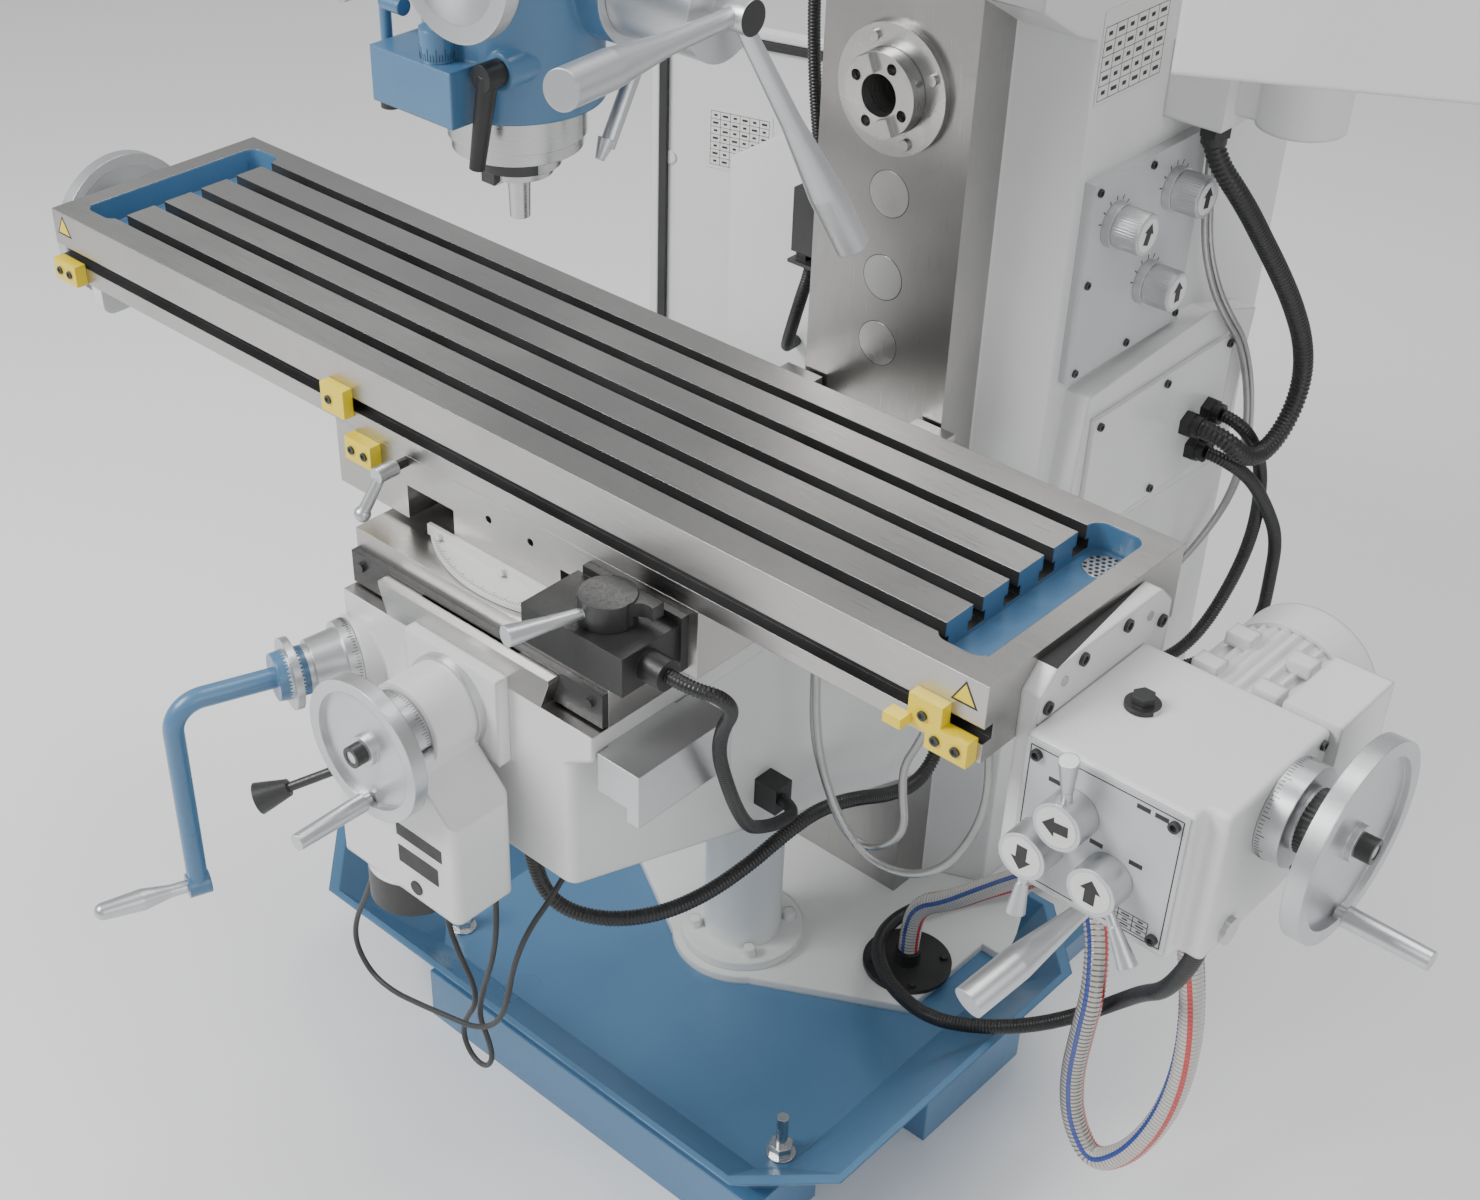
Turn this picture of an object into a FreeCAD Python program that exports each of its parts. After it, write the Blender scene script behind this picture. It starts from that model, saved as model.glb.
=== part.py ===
import FreeCAD, Part
import math
import os
import re
from FreeCAD import Placement, Rotation, Vector

# A universal knee-type milling machine with a horizontal spindle in its column and a vertical
# head on its ram. Origin: on the floor, in the middle of the four anchor bolts, straight below
# the column's front way. +X runs along the table, +Y from the operator to the column, +Z up.

doc = FreeCAD.newDocument("milling_machine")
sheet = doc.addObject("Spreadsheet::Sheet", "Sizes")
SIZES = {
    # base and foot
    "tray_floor": 35, "tray_rim": 167, "tray_half": 406, "tray_front": 581, "tray_back": 6,
    "tray_chamfer": 82, "floor_chamfer": 24, "tray_slope": 122, "tray_wall": 12, "rim_lip": 9, "foot_inset": 52,
    "platform_half": 312, "platform_back": 640, "anchor_x": 266, "anchor_y": 422,
    "stud_radius": 7, "foot_plate": 12, "foot_half": 238, "screw_y": 187, "screw_radius": 48.5,
    "screw_flange_radius": 78, "screw_tube_top": 430, "pump_radius": 55,
    # column
    "way_half": 97, "column_half": 170, "way_depth": 60, "column_back": 560, "column_top": 1330,
    "column_wall": 20, "way_top": 1184, "spindle_height": 1095, "nose_radius": 44.44,
    "nose_reach": 29, "flange_radius": 69, "bulge": 30, "plate_thick": 13, "knob_radius": 22,
    "knob_length": 42,
    "cabinet_depth": 158, "cabinet_front": 125, "cabinet_length": 420, "cabinet_bottom": 330,
    "cabinet_top": 889, "cabinet_wall": 4, "door_thick": 18, "door_angle": 75,
    # knee
    "knee_top": 702, "knee_front": 625, "knee_half": 175, "knee_body_half": 145,
    "knee_front_bottom": 503, "knee_slope": 0.352, "dovetail_height": 36, "dovetail_half": 119,
    "dovetail_undercut": 11, "trough_half": 68, "trough_floor": 14, "slide_gap": 0.05,
    "feed_height": 664, "cross_wheel_radius": 75, "wheel_radius": 88, "crank_height": 623,
    "crank_throw": 237, "crank_turn": 20.7,
    # saddle, swivel and table
    "saddle_half": 175, "saddle_front": 603, "saddle_back": 241, "saddle_height": 63,
    "bar_thick": 8, "bar_height": 37, "swivel_y": 422, "swivel_half": 245, "swivel_height": 73,
    "turntable_height": 7, "turntable_radius": 139, "scale_radius": 178,
    "table_length": 1270, "table_width": 280, "table_thick": 75, "table_shift": -90,
    "slot_width": 14, "slot_pitch": 50, "slot_depth": 25, "slot_head": 23, "slot_head_height": 10,
    "end_wall": 25, "pocket_length": 51, "pocket_depth": 22, "groove_height": 15,
    "groove_depth": 12, "groove_drop": 41, "end_plate": 18, "gearbox_width": 172.5,
    "gearbox_depth": 170, "gearbox_height": 146, "screw_drop": 92, "motor_radius": 62,
    # head
    "ram_half": 110, "ram_height": 170, "ram_front": 330, "ram_back": 560, "head_y": 529,
    "quill_radius": 59, "quill_bottom": 1206, "head_bottom": 1238, "head_top": 1540,
    "spindle_tip": 1128, "hub_y": 485, "hub_height": 1341, "fit": 0.05, "lever_reach": 232,
}
for row, (name, value) in enumerate(SIZES.items(), 1):
    sheet.set(f"A{row}", name)
    sheet.set(f"B{row}", str(value))
    sheet.setAlias(f"B{row}", name)
doc.recompute()
size = {name: float(sheet.get(name)) for name in SIZES}
NODES = []

# Heights that stack up from the sizes above, as formulas over the sheet's names.
SADDLE_TOP = "(knee_top + saddle_height)"
SWIVEL_BOTTOM = "(knee_top + saddle_height + turntable_height)"
TABLE_BOTTOM = "(knee_top + saddle_height + turntable_height + swivel_height)"
TABLE_TOP = "(knee_top + saddle_height + turntable_height + swivel_height + table_thick)"
TABLE_LEFT = "(table_shift - table_length / 2)"
TABLE_RIGHT = "(table_shift + table_length / 2)"
TABLE_FRONT = "(-swivel_y - table_width / 2)"
SCREW_Z = f"({TABLE_TOP} - screw_drop)"
table_top = sum(size[n] for n in ("knee_top", "saddle_height", "turntable_height",
                                  "swivel_height", "table_thick"))
table_bottom = table_top - size["table_thick"]
table_front = -size["swivel_y"] - size["table_width"] / 2
table_right = size["table_shift"] + size["table_length"] / 2
table_left = size["table_shift"] - size["table_length"] / 2
screw_z = table_top - size["screw_drop"]
foot_top = size["tray_floor"] + size["foot_plate"]


def bind(thing, place, formula):
    """Drive one property of a thing by a formula over the sheet's names."""
    def cell(word):
        return "Sizes." + word.group() if word.group() in SIZES else word.group()
    thing.setExpression(place, re.sub(r"[a-z][a-z_0-9]*", cell, str(formula)))


def place(thing, x, y, z):
    """Put a thing's own origin at a point, each coordinate a formula."""
    for axis, formula in zip("xyz", (x, y, z)):
        bind(thing, f".Placement.Base.{axis}", formula)
    return thing


def block(low, span):
    """A box from its low corner and its three lengths."""
    box = doc.addObject("Part::Box", "Block")
    for name, formula in zip(("Length", "Width", "Height"), span):
        bind(box, name, formula)
    return place(box, *low)


TURNS = {
    "x": Rotation(Vector(0, 1, 0), 90), "-x": Rotation(Vector(0, 1, 0), -90),
    "y": Rotation(Vector(1, 0, 0), -90), "-y": Rotation(Vector(1, 0, 0), 90),
    "z": Rotation(), "-z": Rotation(Vector(1, 0, 0), 180),
}


def turn(axis):
    """The rotation that stands a shape's own Z along a named axis or a vector."""
    return TURNS[axis] if isinstance(axis, str) else Rotation(Vector(0, 0, 1), axis)


def rod(start, axis, radius, length):
    """A round bar from a point along an axis."""
    bar = doc.addObject("Part::Cylinder", "Rod")
    bar.Placement = Placement(Vector(), turn(axis))
    bind(bar, "Radius", radius)
    bind(bar, "Height", length)
    return place(bar, *start)


def taper(start, axis, first, last, length):
    """A round bar whose radius changes evenly along its axis."""
    cone = doc.addObject("Part::Cone", "Taper")
    cone.Placement = Placement(Vector(), turn(axis))
    bind(cone, "Radius1", first)
    bind(cone, "Radius2", last)
    bind(cone, "Height", length)
    return place(cone, *start)


def hexagon(start, axis, radius, height):
    """A hexagonal nut or head without its hole."""
    nut = doc.addObject("Part::Prism", "Hexagon")
    nut.Placement = Placement(Vector(), turn(axis))
    nut.Polygon = 6
    bind(nut, "Circumradius", radius)
    bind(nut, "Height", height)
    return place(nut, *start)


def solid(shape):
    """A shape that Part's own functions made, as an object of the document."""
    thing = doc.addObject("Part::Feature", "Made")
    thing.Shape = shape
    return thing


def join(*things):
    """One solid out of several that touch."""
    union = doc.addObject("Part::MultiFuse", "Join")
    union.Shapes = list(things)
    union.Refine = True
    return union


def carve(base, *tools):
    """A piece with other shapes taken out of it."""
    cut = doc.addObject("Part::Cut", "Carve")
    cut.Base = base
    cut.Tool = tools[0] if len(tools) == 1 else join(*tools)
    cut.Refine = True
    return cut


def rounded(base, radius, pick):
    """A piece with the straight edges that pick(middle, direction) chooses rounded."""
    doc.recompute()
    chosen = []
    for number, edge in enumerate(base.Shape.Edges, 1):
        if edge.Curve.TypeId != "Part::GeomLine" or edge.Length < 5:
            continue
        middle = edge.valueAt((edge.FirstParameter + edge.LastParameter) / 2)
        along = edge.tangentAt(edge.FirstParameter)
        if pick(middle, along):
            chosen.append((number, radius, radius))
    fillet = doc.addObject("Part::Fillet", "Rounded")
    fillet.Base = base
    fillet.Edges = chosen
    return fillet


def upright(middle, along):
    """Whether an edge stands upright."""
    return abs(along.z) > 0.99


def profile(plane, corners, start, length):
    """A body padded from an outline on one of its origin planes, by a length from a start."""
    body = doc.addObject("PartDesign::Body", "Profile")
    sketch = body.newObject("Sketcher::SketchObject", "Outline")
    plane_feature = next(f for f in body.Origin.OriginFeatures if f.Role == plane)
    sketch.AttachmentSupport = [(plane_feature, "")]
    sketch.MapMode = "FlatFace"
    sign = "-" if plane == "XZ_Plane" else ""
    bind(sketch, ".AttachmentOffset.Base.z", f"{sign}({start})")
    points = [Vector(x, y, 0) for x, y in corners]
    for first, last in zip(points, points[1:] + points[:1]):
        sketch.addGeometry(Part.LineSegment(first, last), False)
    pad = body.newObject("PartDesign::Pad", "Pad")
    pad.Profile = sketch
    bind(pad, "Length", length)
    pad.Reversed = plane == "XZ_Plane"
    return body


def node(name, *things):
    """Finish a sub-part: one object, or several separate solids kept together."""
    if len(things) == 1 and name not in [t.Label for t in things]:
        piece = things[0]
    else:
        piece = doc.addObject("Part::Compound", "Group")
        piece.Links = list(things)
    piece.Label = name
    NODES.append(piece)
    return piece


def ring(start, axis, outer, inner, length):
    """A flat or long ring."""
    return carve(rod(start, axis, outer, length), rod(start, axis, inner, length))


def octagon(half, front, back, chamfer, z):
    """The tray's outline at a height: a rectangle with its four corners cut."""
    corners = [(-half, -front + chamfer), (-half + chamfer, -front), (half - chamfer, -front),
               (half, -front + chamfer), (half, back - chamfer), (half - chamfer, back),
               (-half + chamfer, back), (-half, back - chamfer)]
    points = [Vector(x, y, z) for x, y in corners]
    return Part.makePolygon(points + points[:1])


def basin(inset_top, inset_floor, top, floor):
    """A basin's solid: two outlines, one above the other, joined by flat slopes."""
    rims = [octagon(size["tray_half"] - inset, size["tray_front"] - inset,
                    size["tray_back"] - inset * share, chamfer, z)
            for inset, share, chamfer, z in ((inset_top, 1.0, size["tray_chamfer"], top),
                                             (inset_floor, 0.3, size["floor_chamfer"], floor))]
    return Part.makeLoft(rims, True, True)


# --- base: the cast tray on its feet -------------------------------------------------------
wall = size["tray_wall"]
outer_basin = solid(basin(0, size["tray_slope"] - wall, size["tray_rim"],
                          size["tray_floor"] - wall))
inner_basin = solid(basin(size["rim_lip"], size["tray_slope"], size["tray_rim"] + 0.01,
                          size["tray_floor"]))
foot_height = size["tray_floor"] + 40
front_foot = block(("-tray_half + 200", "-tray_front + foot_inset", 0),
                   ("2 * tray_half - 290", 110, foot_height))
back_foot = block(("-tray_half + 50", "-tray_front / 2 + 20", 0),
                  ("2 * tray_half - 100", "tray_front / 2 - 20 + tray_back - 90", foot_height))
bosses = [rod((f"{side} * anchor_x", "-anchor_y", 0), "z", 34, "tray_floor") for side in (-1, 1)]
platform = block(("-platform_half", -100, 0),
                 ("2 * platform_half", "platform_back + 100", "tray_floor"))
foot_room = block(("-platform_half + 20", -60, "tray_floor"),
                  ("2 * platform_half - 40", 200, "tray_rim"))
base = carve(join(outer_basin, front_foot, back_foot, platform), inner_basin, foot_room)
stud_holes = [rod((f"{sx} * anchor_x", f"{sy} * anchor_y", -1), "z", "stud_radius + fit", 80)
              for sx in (-1, 1) for sy in (-1, 1)]
node("base_tray", carve(join(base, *bosses), *stud_holes))

anchors = []
for sx in (-1, 1):
    for sy in (-1, 1):
        x, y = f"{sx} * anchor_x", f"{sy} * anchor_y"
        washer = rod((x, y, "tray_floor"), "z", 17, 3)
        nut = hexagon((x, y, "tray_floor + 3"), "z", 14, 14)
        stud = rod((x, y, 1), "z", "stud_radius", 94)
        anchors.append(join(washer, nut, stud))
node("anchor_bolts", *anchors)

# The white foot casting lies on the tray's floor, swept round the elevating screw.
boss_radius = size["screw_flange_radius"] + 10
foot_outline = [(-size["foot_half"], 60), (-size["foot_half"], -150),
                (-boss_radius * 0.75, -size["screw_y"] - boss_radius * 0.68),
                (boss_radius * 0.75, -size["screw_y"] - boss_radius * 0.68),
                (size["foot_half"], -150), (size["foot_half"], 60)]
foot_body = profile("XY_Plane", foot_outline, "tray_floor", "foot_plate")
foot_boss = rod((0, "-screw_y", "tray_floor"), "z", boss_radius, "foot_plate")
pad_box = block(("-platform_half + 20", 0, "tray_floor"),
                ("2 * platform_half - 40", "platform_back - 30", "foot_plate"))
stud_room = [rod((f"{sx} * anchor_x", "anchor_y", 0), "z", 22, 200) for sx in (-1, 1)]
node("machine_foot", carve(join(foot_body, foot_boss, pad_box), *stud_room))

flange_screws = [rod((60 * math.cos(a), f"-screw_y + {60 * math.sin(a)}",
                      "tray_floor + foot_plate + 12"), "z", 8, 12)
                 for a in (math.radians(50 + 90 * k) for k in range(4))]
tube = rod((0, "-screw_y", "tray_floor + foot_plate"), "z", "screw_radius",
           "screw_tube_top - tray_floor - foot_plate")
tube_flange = rod((0, "-screw_y", "tray_floor + foot_plate"), "z", "screw_flange_radius", 12)
bore = rod((0, "-screw_y", "tray_floor + foot_plate + 30"), "z", "screw_radius - 14", 600)
node("screw_housing", carve(join(tube, tube_flange, *flange_screws), bore))

PUMP_X, PUMP_Y = 190, -92
pump_disc = rod((PUMP_X, PUMP_Y, "tray_floor + foot_plate"), "z", "pump_radius", 6)
pump_neck = rod((PUMP_X, PUMP_Y, "tray_floor + foot_plate"), "z", 16, 26)
pump_screws = [rod((PUMP_X + 46 * math.cos(a), PUMP_Y + 46 * math.sin(a),
                    "tray_floor + foot_plate"), "z", 5, 11)
               for a in (math.radians(45 + 90 * k) for k in range(4))]
node("coolant_plate", join(pump_disc, pump_neck, *pump_screws))

# --- column: hollow casting with the ground way in front ----------------------------------
half, way = size["column_half"], size["way_half"]
column_outline = [(-way, 0), (way, 0), (way, size["way_depth"]), (half, size["way_depth"] + 34),
                  (half, size["column_back"]), (-half, size["column_back"]),
                  (-half, size["way_depth"] + 34), (-way, size["way_depth"])]
column_body = profile("XY_Plane", column_outline, "tray_floor + foot_plate",
                      "column_top - tray_floor - foot_plate")
brow = profile("YZ_Plane", [(-8, size["way_top"] + 30), (-8, size["column_top"]),
                            (200, size["column_top"]), (200, size["way_top"] - 60),
                            (60, size["way_top"] - 10)], "-column_half", "2 * column_half")
bulge = profile("YZ_Plane", [(110, 560), (470, 540), (490, 740), (380, 775), (130, 760)],
                "column_half", "bulge")
hollow = block(("-column_half + column_wall", "way_depth + 34 + column_wall", 90),
               ("2 * column_half - 2 * column_wall",
                "column_back - way_depth - 34 - 2 * column_wall", "column_top - 120"))
spindle_bore = rod((0, -20, "spindle_height"), "y", "nose_radius - 4 + fit", 180)
nose_bore = rod((0, -20, "spindle_height"), "y", "nose_radius + 0.4", 30)
column = carve(join(column_body, brow, bulge), hollow, spindle_bore, nose_bore)
node("column", rounded(column, 14, lambda m, a: upright(m, a) and abs(m.x) > half - 1
                       and m.y > size["column_back"] - 1))

flange = ring((0, -9, "spindle_height"), "y", "flange_radius", "nose_radius + 0.4", 9)
flange_bolts = [rod((57 * math.cos(a), -13, f"spindle_height + {57 * math.sin(a)}"), "y", 6, 9)
                for a in (math.radians(25 + 90 * k) for k in range(4))]
node("spindle_flange", join(flange, *flange_bolts))

spindle = rod((0, "-nose_reach", "spindle_height"), "y", "nose_radius", "nose_reach + 8")
shaft = rod((0, 0, "spindle_height"), "y", "nose_radius - 4", 150)
socket = taper((0, "-nose_reach - 0.01", "spindle_height"), "y", 22.225, 12.7, 68)
draw_hole = rod((0, 0, "spindle_height"), "y", 10, 200)
nose_holes = [rod((33.35 * math.cos(a), "-nose_reach - 1", f"spindle_height + {33.35 * math.sin(a)}"),
                  "y", 6, 24) for a in (math.radians(65 + 90 * k) for k in range(4))]
spindle_solid = carve(join(spindle, shaft), socket, draw_hole, *nose_holes)
keys = []
for side in (-1, 1):
    key = doc.addObject("Part::Box", "Key")
    key.Length, key.Width, key.Height = 20, 8, 15.9
    tilt = Rotation(Vector(0, 1, 0), 65)
    centre = tilt.multVec(Vector(side * 33.5, 0, 0))
    corner = tilt.multVec(Vector(-10, 0, -7.95))
    key.Placement = Placement(Vector(centre.x + corner.x, -size["nose_reach"] - 8,
                                     size["spindle_height"] + centre.z + corner.z), tilt)
    bind(key, ".Placement.Base.y", "-nose_reach - 8")
    bind(key, ".Placement.Base.z", f"spindle_height + {centre.z + corner.z}")
    keys.append(key)
node("horizontal_spindle", spindle_solid, *keys)

node("selector_plate", block(("column_half", 108, 778), ("plate_thick", 222, 232)))
for number, (y, z) in enumerate(((155, 953), (271, 957), (240, 857)), 1):
    skirt = rod(("column_half + plate_thick + 0.3", y, z), "x", "knob_radius + 3", 10)
    grip = rod(("column_half + plate_thick + 10", y, z), "x", "knob_radius", "knob_length - 10")
    node(f"speed_knob_{number}", join(skirt, grip))

cover = block(("column_half + bulge", 138, 565), (6, 300, 165))
cover_glands = []
for y, z in ((352, 640), (398, 640), (375, 598)):
    nut = hexagon(("column_half + bulge + 6", y, z), "x", 17, 12)
    cover_glands.append(join(nut, rod(("column_half + bulge + 18", y, z), "x", 13, 10)))
node("side_cover", cover, *cover_glands)

# --- electric cabinet on the column's left, with its door swung open ------------------------
back = -size["column_half"]
front = back - size["cabinet_depth"]
cabinet_outline = [(back, size["cabinet_bottom"]), (front, size["cabinet_bottom"]),
                   (front, size["cabinet_top"]), (back - 22, size["cabinet_top"] + 86),
                   (back, size["cabinet_top"] + 86)]
w = size["cabinet_wall"]
inside_outline = [(back - w, size["cabinet_bottom"] + w), (front - 1, size["cabinet_bottom"] + w),
                  (front - 1, size["cabinet_top"] - w), (back - 22, size["cabinet_top"] + 86 - 2 * w),
                  (back - w, size["cabinet_top"] + 86 - 2 * w)]
cabinet = profile("XZ_Plane", cabinet_outline, "cabinet_front", "cabinet_length")
inside = profile("XZ_Plane", inside_outline, f"cabinet_front + {w}", f"cabinet_length - {2 * w}")
hinge = Vector(front - 11, size["cabinet_front"] + size["cabinet_length"] + 4, 0)
door_height = size["cabinet_top"] - size["cabinet_bottom"]
door_span = size["cabinet_length"] - 4
panel = Part.makeBox(size["door_thick"], door_span, door_height,
                     Vector(-size["door_thick"] + 8, -door_span - 8, size["cabinet_bottom"]))
seal_room = Part.makeBox(6, door_span - 24, door_height - 24,
                         Vector(2.01, -door_span + 4, size["cabinet_bottom"] + 12))
panel = panel.cut(seal_room)
hinge_leaves = []
for share in (0.15, 0.75):
    z = size["cabinet_bottom"] + share * door_height
    knuckle = Part.makeCylinder(5, 60, Vector(0, 0, z))
    leaf = Part.makeBox(4, 12, 60, Vector(-4, -12, z))
    panel = panel.fuse(knuckle).fuse(leaf)
    pin = Part.makeCylinder(5, 30, Vector(hinge.x, hinge.y, z + 60.3))
    strap = Part.makeBox(30, 4, 30, Vector(hinge.x, hinge.y - 4, z + 60.3))
    hinge_leaves.append(solid(pin.fuse(strap)))
node("electric_cabinet", join(carve(cabinet, inside), *hinge_leaves))
latch = Part.makeCylinder(10, 26, Vector(-22, -door_span + 20, 0), Vector(1, 0, 0))
latch.translate(Vector(0, 0, size["cabinet_bottom"] + 0.62 * door_height))
door = solid(panel.fuse(latch).removeSplitter())
door.Placement = Placement(hinge, Rotation(Vector(0, 0, 1), -size["door_angle"]))
node("cabinet_door", door)

switch = block(("-way_half - 46", 20, 862), (32, 44, 76))
switch_top = rod(("-way_half - 30", 42, 938), "z", 12, 26)
switch_arm = block(("-way_half - 46", 14, 850), (46, 20, 4))
node("limit_switch", join(switch, switch_top, block(("-way_half - 14", 30, 870), (14, 29, 50)),
                          switch_arm, block(("-way_half - 40", 22, 853), (14, 10, 10))))

# --- pendant arm: bracket box, fixed cup, turning post with its arm and control box -------------
ARM_X, ARM_Y, ARM_ANGLE = 300, 300, 28
box = block(("column_half", 245, 1042), (70, 92, 82))
cheek = block(("column_half + 60", 268, 1056), (90, 56, 54))
cup = rod((ARM_X, ARM_Y, 1052), "z", 47, 63)
spigot = rod((ARM_X, ARM_Y, 1110), "z", 30, 40)
gland = join(hexagon((222, 268, 1030), "z", 18, 12), rod((222, 268, 1020), "z", 14, 14))
node("arm_bracket", join(box, cheek, cup, spigot), gland)
post = Part.makeCylinder(46, 430, Vector(0, 0, 1115.3))
post = post.cut(Part.makeCylinder(30 + size["fit"], 60, Vector(0, 0, 1115)))
arm = Part.makeBox(70, 676, 60, Vector(-35, -640, 1545))
stem = Part.makeCylinder(24, 46, Vector(0, -600, 1500))
control_box = Part.makeBox(260, 110, 170, Vector(-130, -655, 1330))
swing = Placement(Vector(ARM_X, ARM_Y, 0), Rotation(Vector(0, 0, 1), ARM_ANGLE))
carrier = solid(post.fuse(arm).fuse(stem).removeSplitter())
pendant = solid(control_box)
for thing in (carrier, pendant):
    thing.Placement = swing
node("pendant_arm", carrier, pendant)


# --- ram and vertical head ------------------------------------------------------------------
ram = block(("-ram_half", "-ram_front", "column_top + slide_gap"),
            ("2 * ram_half", "ram_front + ram_back", "ram_height"))
ram_face = rod((0, "-ram_front - 14", f"column_top + ram_height / 2"), "y", 95, 14)
node("ram", rounded(join(ram, ram_face), 12, lambda m, a: abs(a.y) > 0.99))

head_axis = "(column_top + ram_height / 2)"
disc = rod((0, "-ram_front - 44.5", head_axis), "y", 112, 30)
neck_box = block((-70, "-head_y", "head_bottom + 75"), (140, "head_y - ram_front - 40", 200))
barrel = rod((0, "-head_y", "head_bottom"), "z", "quill_radius + 16", "head_top - head_bottom")
hub_boss = rod((20, "-hub_y", "hub_height"), "x", 50, 82)
lug = block((-64, "-head_y - 100", "head_bottom + 4"), (96, 80, 46))
wheel_boss = rod((70, "-head_y - 100", 1392), "y", 24, 80)
clamp_boss = rod((52, "-head_y - 66", 1286), "y", 15, 30)
bore_head = rod((0, "-head_y", "head_bottom - 1"), "z", "quill_radius + fit",
                "head_top - head_bottom - 20")
head = carve(join(disc, neck_box, barrel, hub_boss, lug, wheel_boss, clamp_boss), bore_head)
stop_rod = join(rod((0, "-head_y - 84", "head_bottom + 50.3"), "z", 14, 26),
                rod((0, "-head_y - 84", "head_bottom + 50.3"), "z", 6, 190))
trip_lever = join(rod((-78, "-head_y - 70", "head_bottom + 75"), "x", 7, 24),
                  rod((-78, "-head_y - 70", "head_bottom + 8"), "z", 5, 74),
                  rod((-78, "-head_y - 70", "head_bottom - 14"), "z", 9, 30))
nozzle_line = Part.makeCylinder(7, 66, Vector(50, -size["head_y"] + 89, size["head_bottom"] + 6),
                                Vector(0.05, -0.55, -0.83))
nozzle_tip = Part.makeCone(8, 4, 18, Vector(53, -480, 1189) + Vector(-0.05, 0.55, 0.83) * 8,
                           Vector(0.05, -0.55, -0.83))
neck_link = Part.makeCylinder(8, 70, Vector(50, -size["head_y"] + 89, size["head_bottom"] + 6),
                              Vector(0, 0.2, 1))
node("head_casting", head, stop_rod, trip_lever)
node("coolant_nozzle", solid(nozzle_line.fuse(nozzle_tip).fuse(neck_link).removeSplitter()))

motor_body = rod((0, "-head_y", "head_top + slide_gap"), "z", 92, 190)
motor_cap = taper((0, "-head_y", "head_top + 190"), "z", 92, 80, 60)
motor_case = block((-60, "-head_y + 60", "head_top + 60"), (120, 70, 90))
node("head_motor", join(motor_body, motor_cap, motor_case))

quill_tube = rod((0, "-head_y", "quill_bottom"), "z", "quill_radius", "head_top - quill_bottom - 160")
quill_ring = rod((0, "-head_y", "quill_bottom - 11"), "z", "quill_radius - 3", 11)
quill_hole = rod((0, "-head_y", "quill_bottom - 12"), "z", 32 + 0.05, 500)
node("quill", carve(join(quill_tube, quill_ring), quill_hole))

nose = rod((0, "-head_y", "quill_bottom - 28"), "z", 37, 16.7)
upper = rod((0, "-head_y", "quill_bottom - 28"), "z", 32, 190)
collar = rod((0, "-head_y", "quill_bottom - 36"), "z", 30, 8)
arbor = taper((0, "-head_y", "spindle_tip"), "z", 8.8, 10, "quill_bottom - 36 - spindle_tip")
drive_key = block((-7.9, "-head_y - 36", "quill_bottom - 38"), (15.8, 12, 22))
node("vertical_spindle", join(nose, upper, collar, arbor, drive_key))


def lever_arm(root, aim, reach, thin, thick, grip):
    """A tapered lever: a plain bar that swells into a long grip with a rounded end."""
    aim = aim.normalize()
    bar = Part.makeCone(thin, thin + 2, reach - grip, root, aim)
    swell = Part.makeCone(thin + 2, thick, grip * 0.55, root + aim * (reach - grip), aim)
    end = Part.makeCylinder(thick, grip * 0.45, root + aim * (reach - grip * 0.45), aim)
    return bar.fuse(swell).fuse(end)


hub_centre = Vector(202, -size["hub_y"], size["hub_height"])
hub = Part.makeCylinder(42, 86, Vector(102.3, hub_centre.y, hub_centre.z), Vector(1, 0, 0))
hub = hub.fuse(Part.makeCylinder(14, 30, Vector(188, hub_centre.y, hub_centre.z), Vector(1, 0, 0)))
for angle in (176, 296, 56):
    a = math.radians(angle)
    aim = Vector(45 / size["lever_reach"], math.cos(a), math.sin(a))
    hub = hub.fuse(lever_arm(hub_centre, aim, size["lever_reach"] + 6, 7, 15, 130))
node("quill_levers", solid(hub.removeSplitter()))

fine_hub = Vector(70, -size["head_y"] - 100.3, 1392)
fine = Part.makeCylinder(20, 14, fine_hub, Vector(0, -1, 0))
fine = fine.fuse(Part.makeCylinder(62, 14, fine_hub + Vector(0, -14, 0), Vector(0, -1, 0)))
fine = fine.cut(Part.makeCone(48, 20, 9, fine_hub + Vector(0, -28.01, 0), Vector(0, 1, 0)))
fine = fine.fuse(Part.makeCylinder(8, 20, fine_hub + Vector(0, -16, 0), Vector(0, -1, 0)))
fine = fine.fuse(Part.makeCone(6, 10, 62, fine_hub + Vector(-46, -27, -20), Vector(-0.15, -1, 0)))
node("fine_feed_wheel", solid(fine.removeSplitter()))

clamp = Part.makeCylinder(11, 20, Vector(52, -size["head_y"] - 66.3, 1286), Vector(0, -1, 0))
clamp = clamp.fuse(Part.makeCone(9, 6.5, 78, Vector(52, -size["head_y"] - 78, 1286),
                                 Vector(-0.12, -0.1, -1)))
node("quill_clamp", solid(clamp.removeSplitter()))

# --- knee: the bracket that climbs the column ------------------------------------------------
kf, kt = size["knee_front"], size["knee_top"]
drop = size["knee_slope"] * (kf - 4)
knee_side = [(-kf, kt - 28), (-kf, size["knee_front_bottom"]), (-4, size["knee_front_bottom"] - drop),
             (-4, kt - 28)]
knee_body = profile("YZ_Plane", knee_side, "-knee_body_half", "2 * knee_body_half")
flare = [(-size["knee_half"], kt), (size["knee_half"], kt), (size["knee_half"], kt - 28),
         (size["knee_body_half"], kt - 46), (-size["knee_body_half"], kt - 46),
         (-size["knee_half"], kt - 28)]
knee_deck = profile("XZ_Plane", flare, "-knee_front", "knee_front - 4")
top = kt + size["dovetail_height"]
tail = size["dovetail_half"]
foot = tail - size["dovetail_undercut"]
dovetail = [(-foot, kt - 1), (foot, kt - 1), (foot, kt), (tail, top - 6), (tail, top),
            (-tail, top), (-tail, top - 6), (-foot, kt)]
knee_tail = profile("XZ_Plane", dovetail, "-knee_front", "knee_front - 4")
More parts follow.
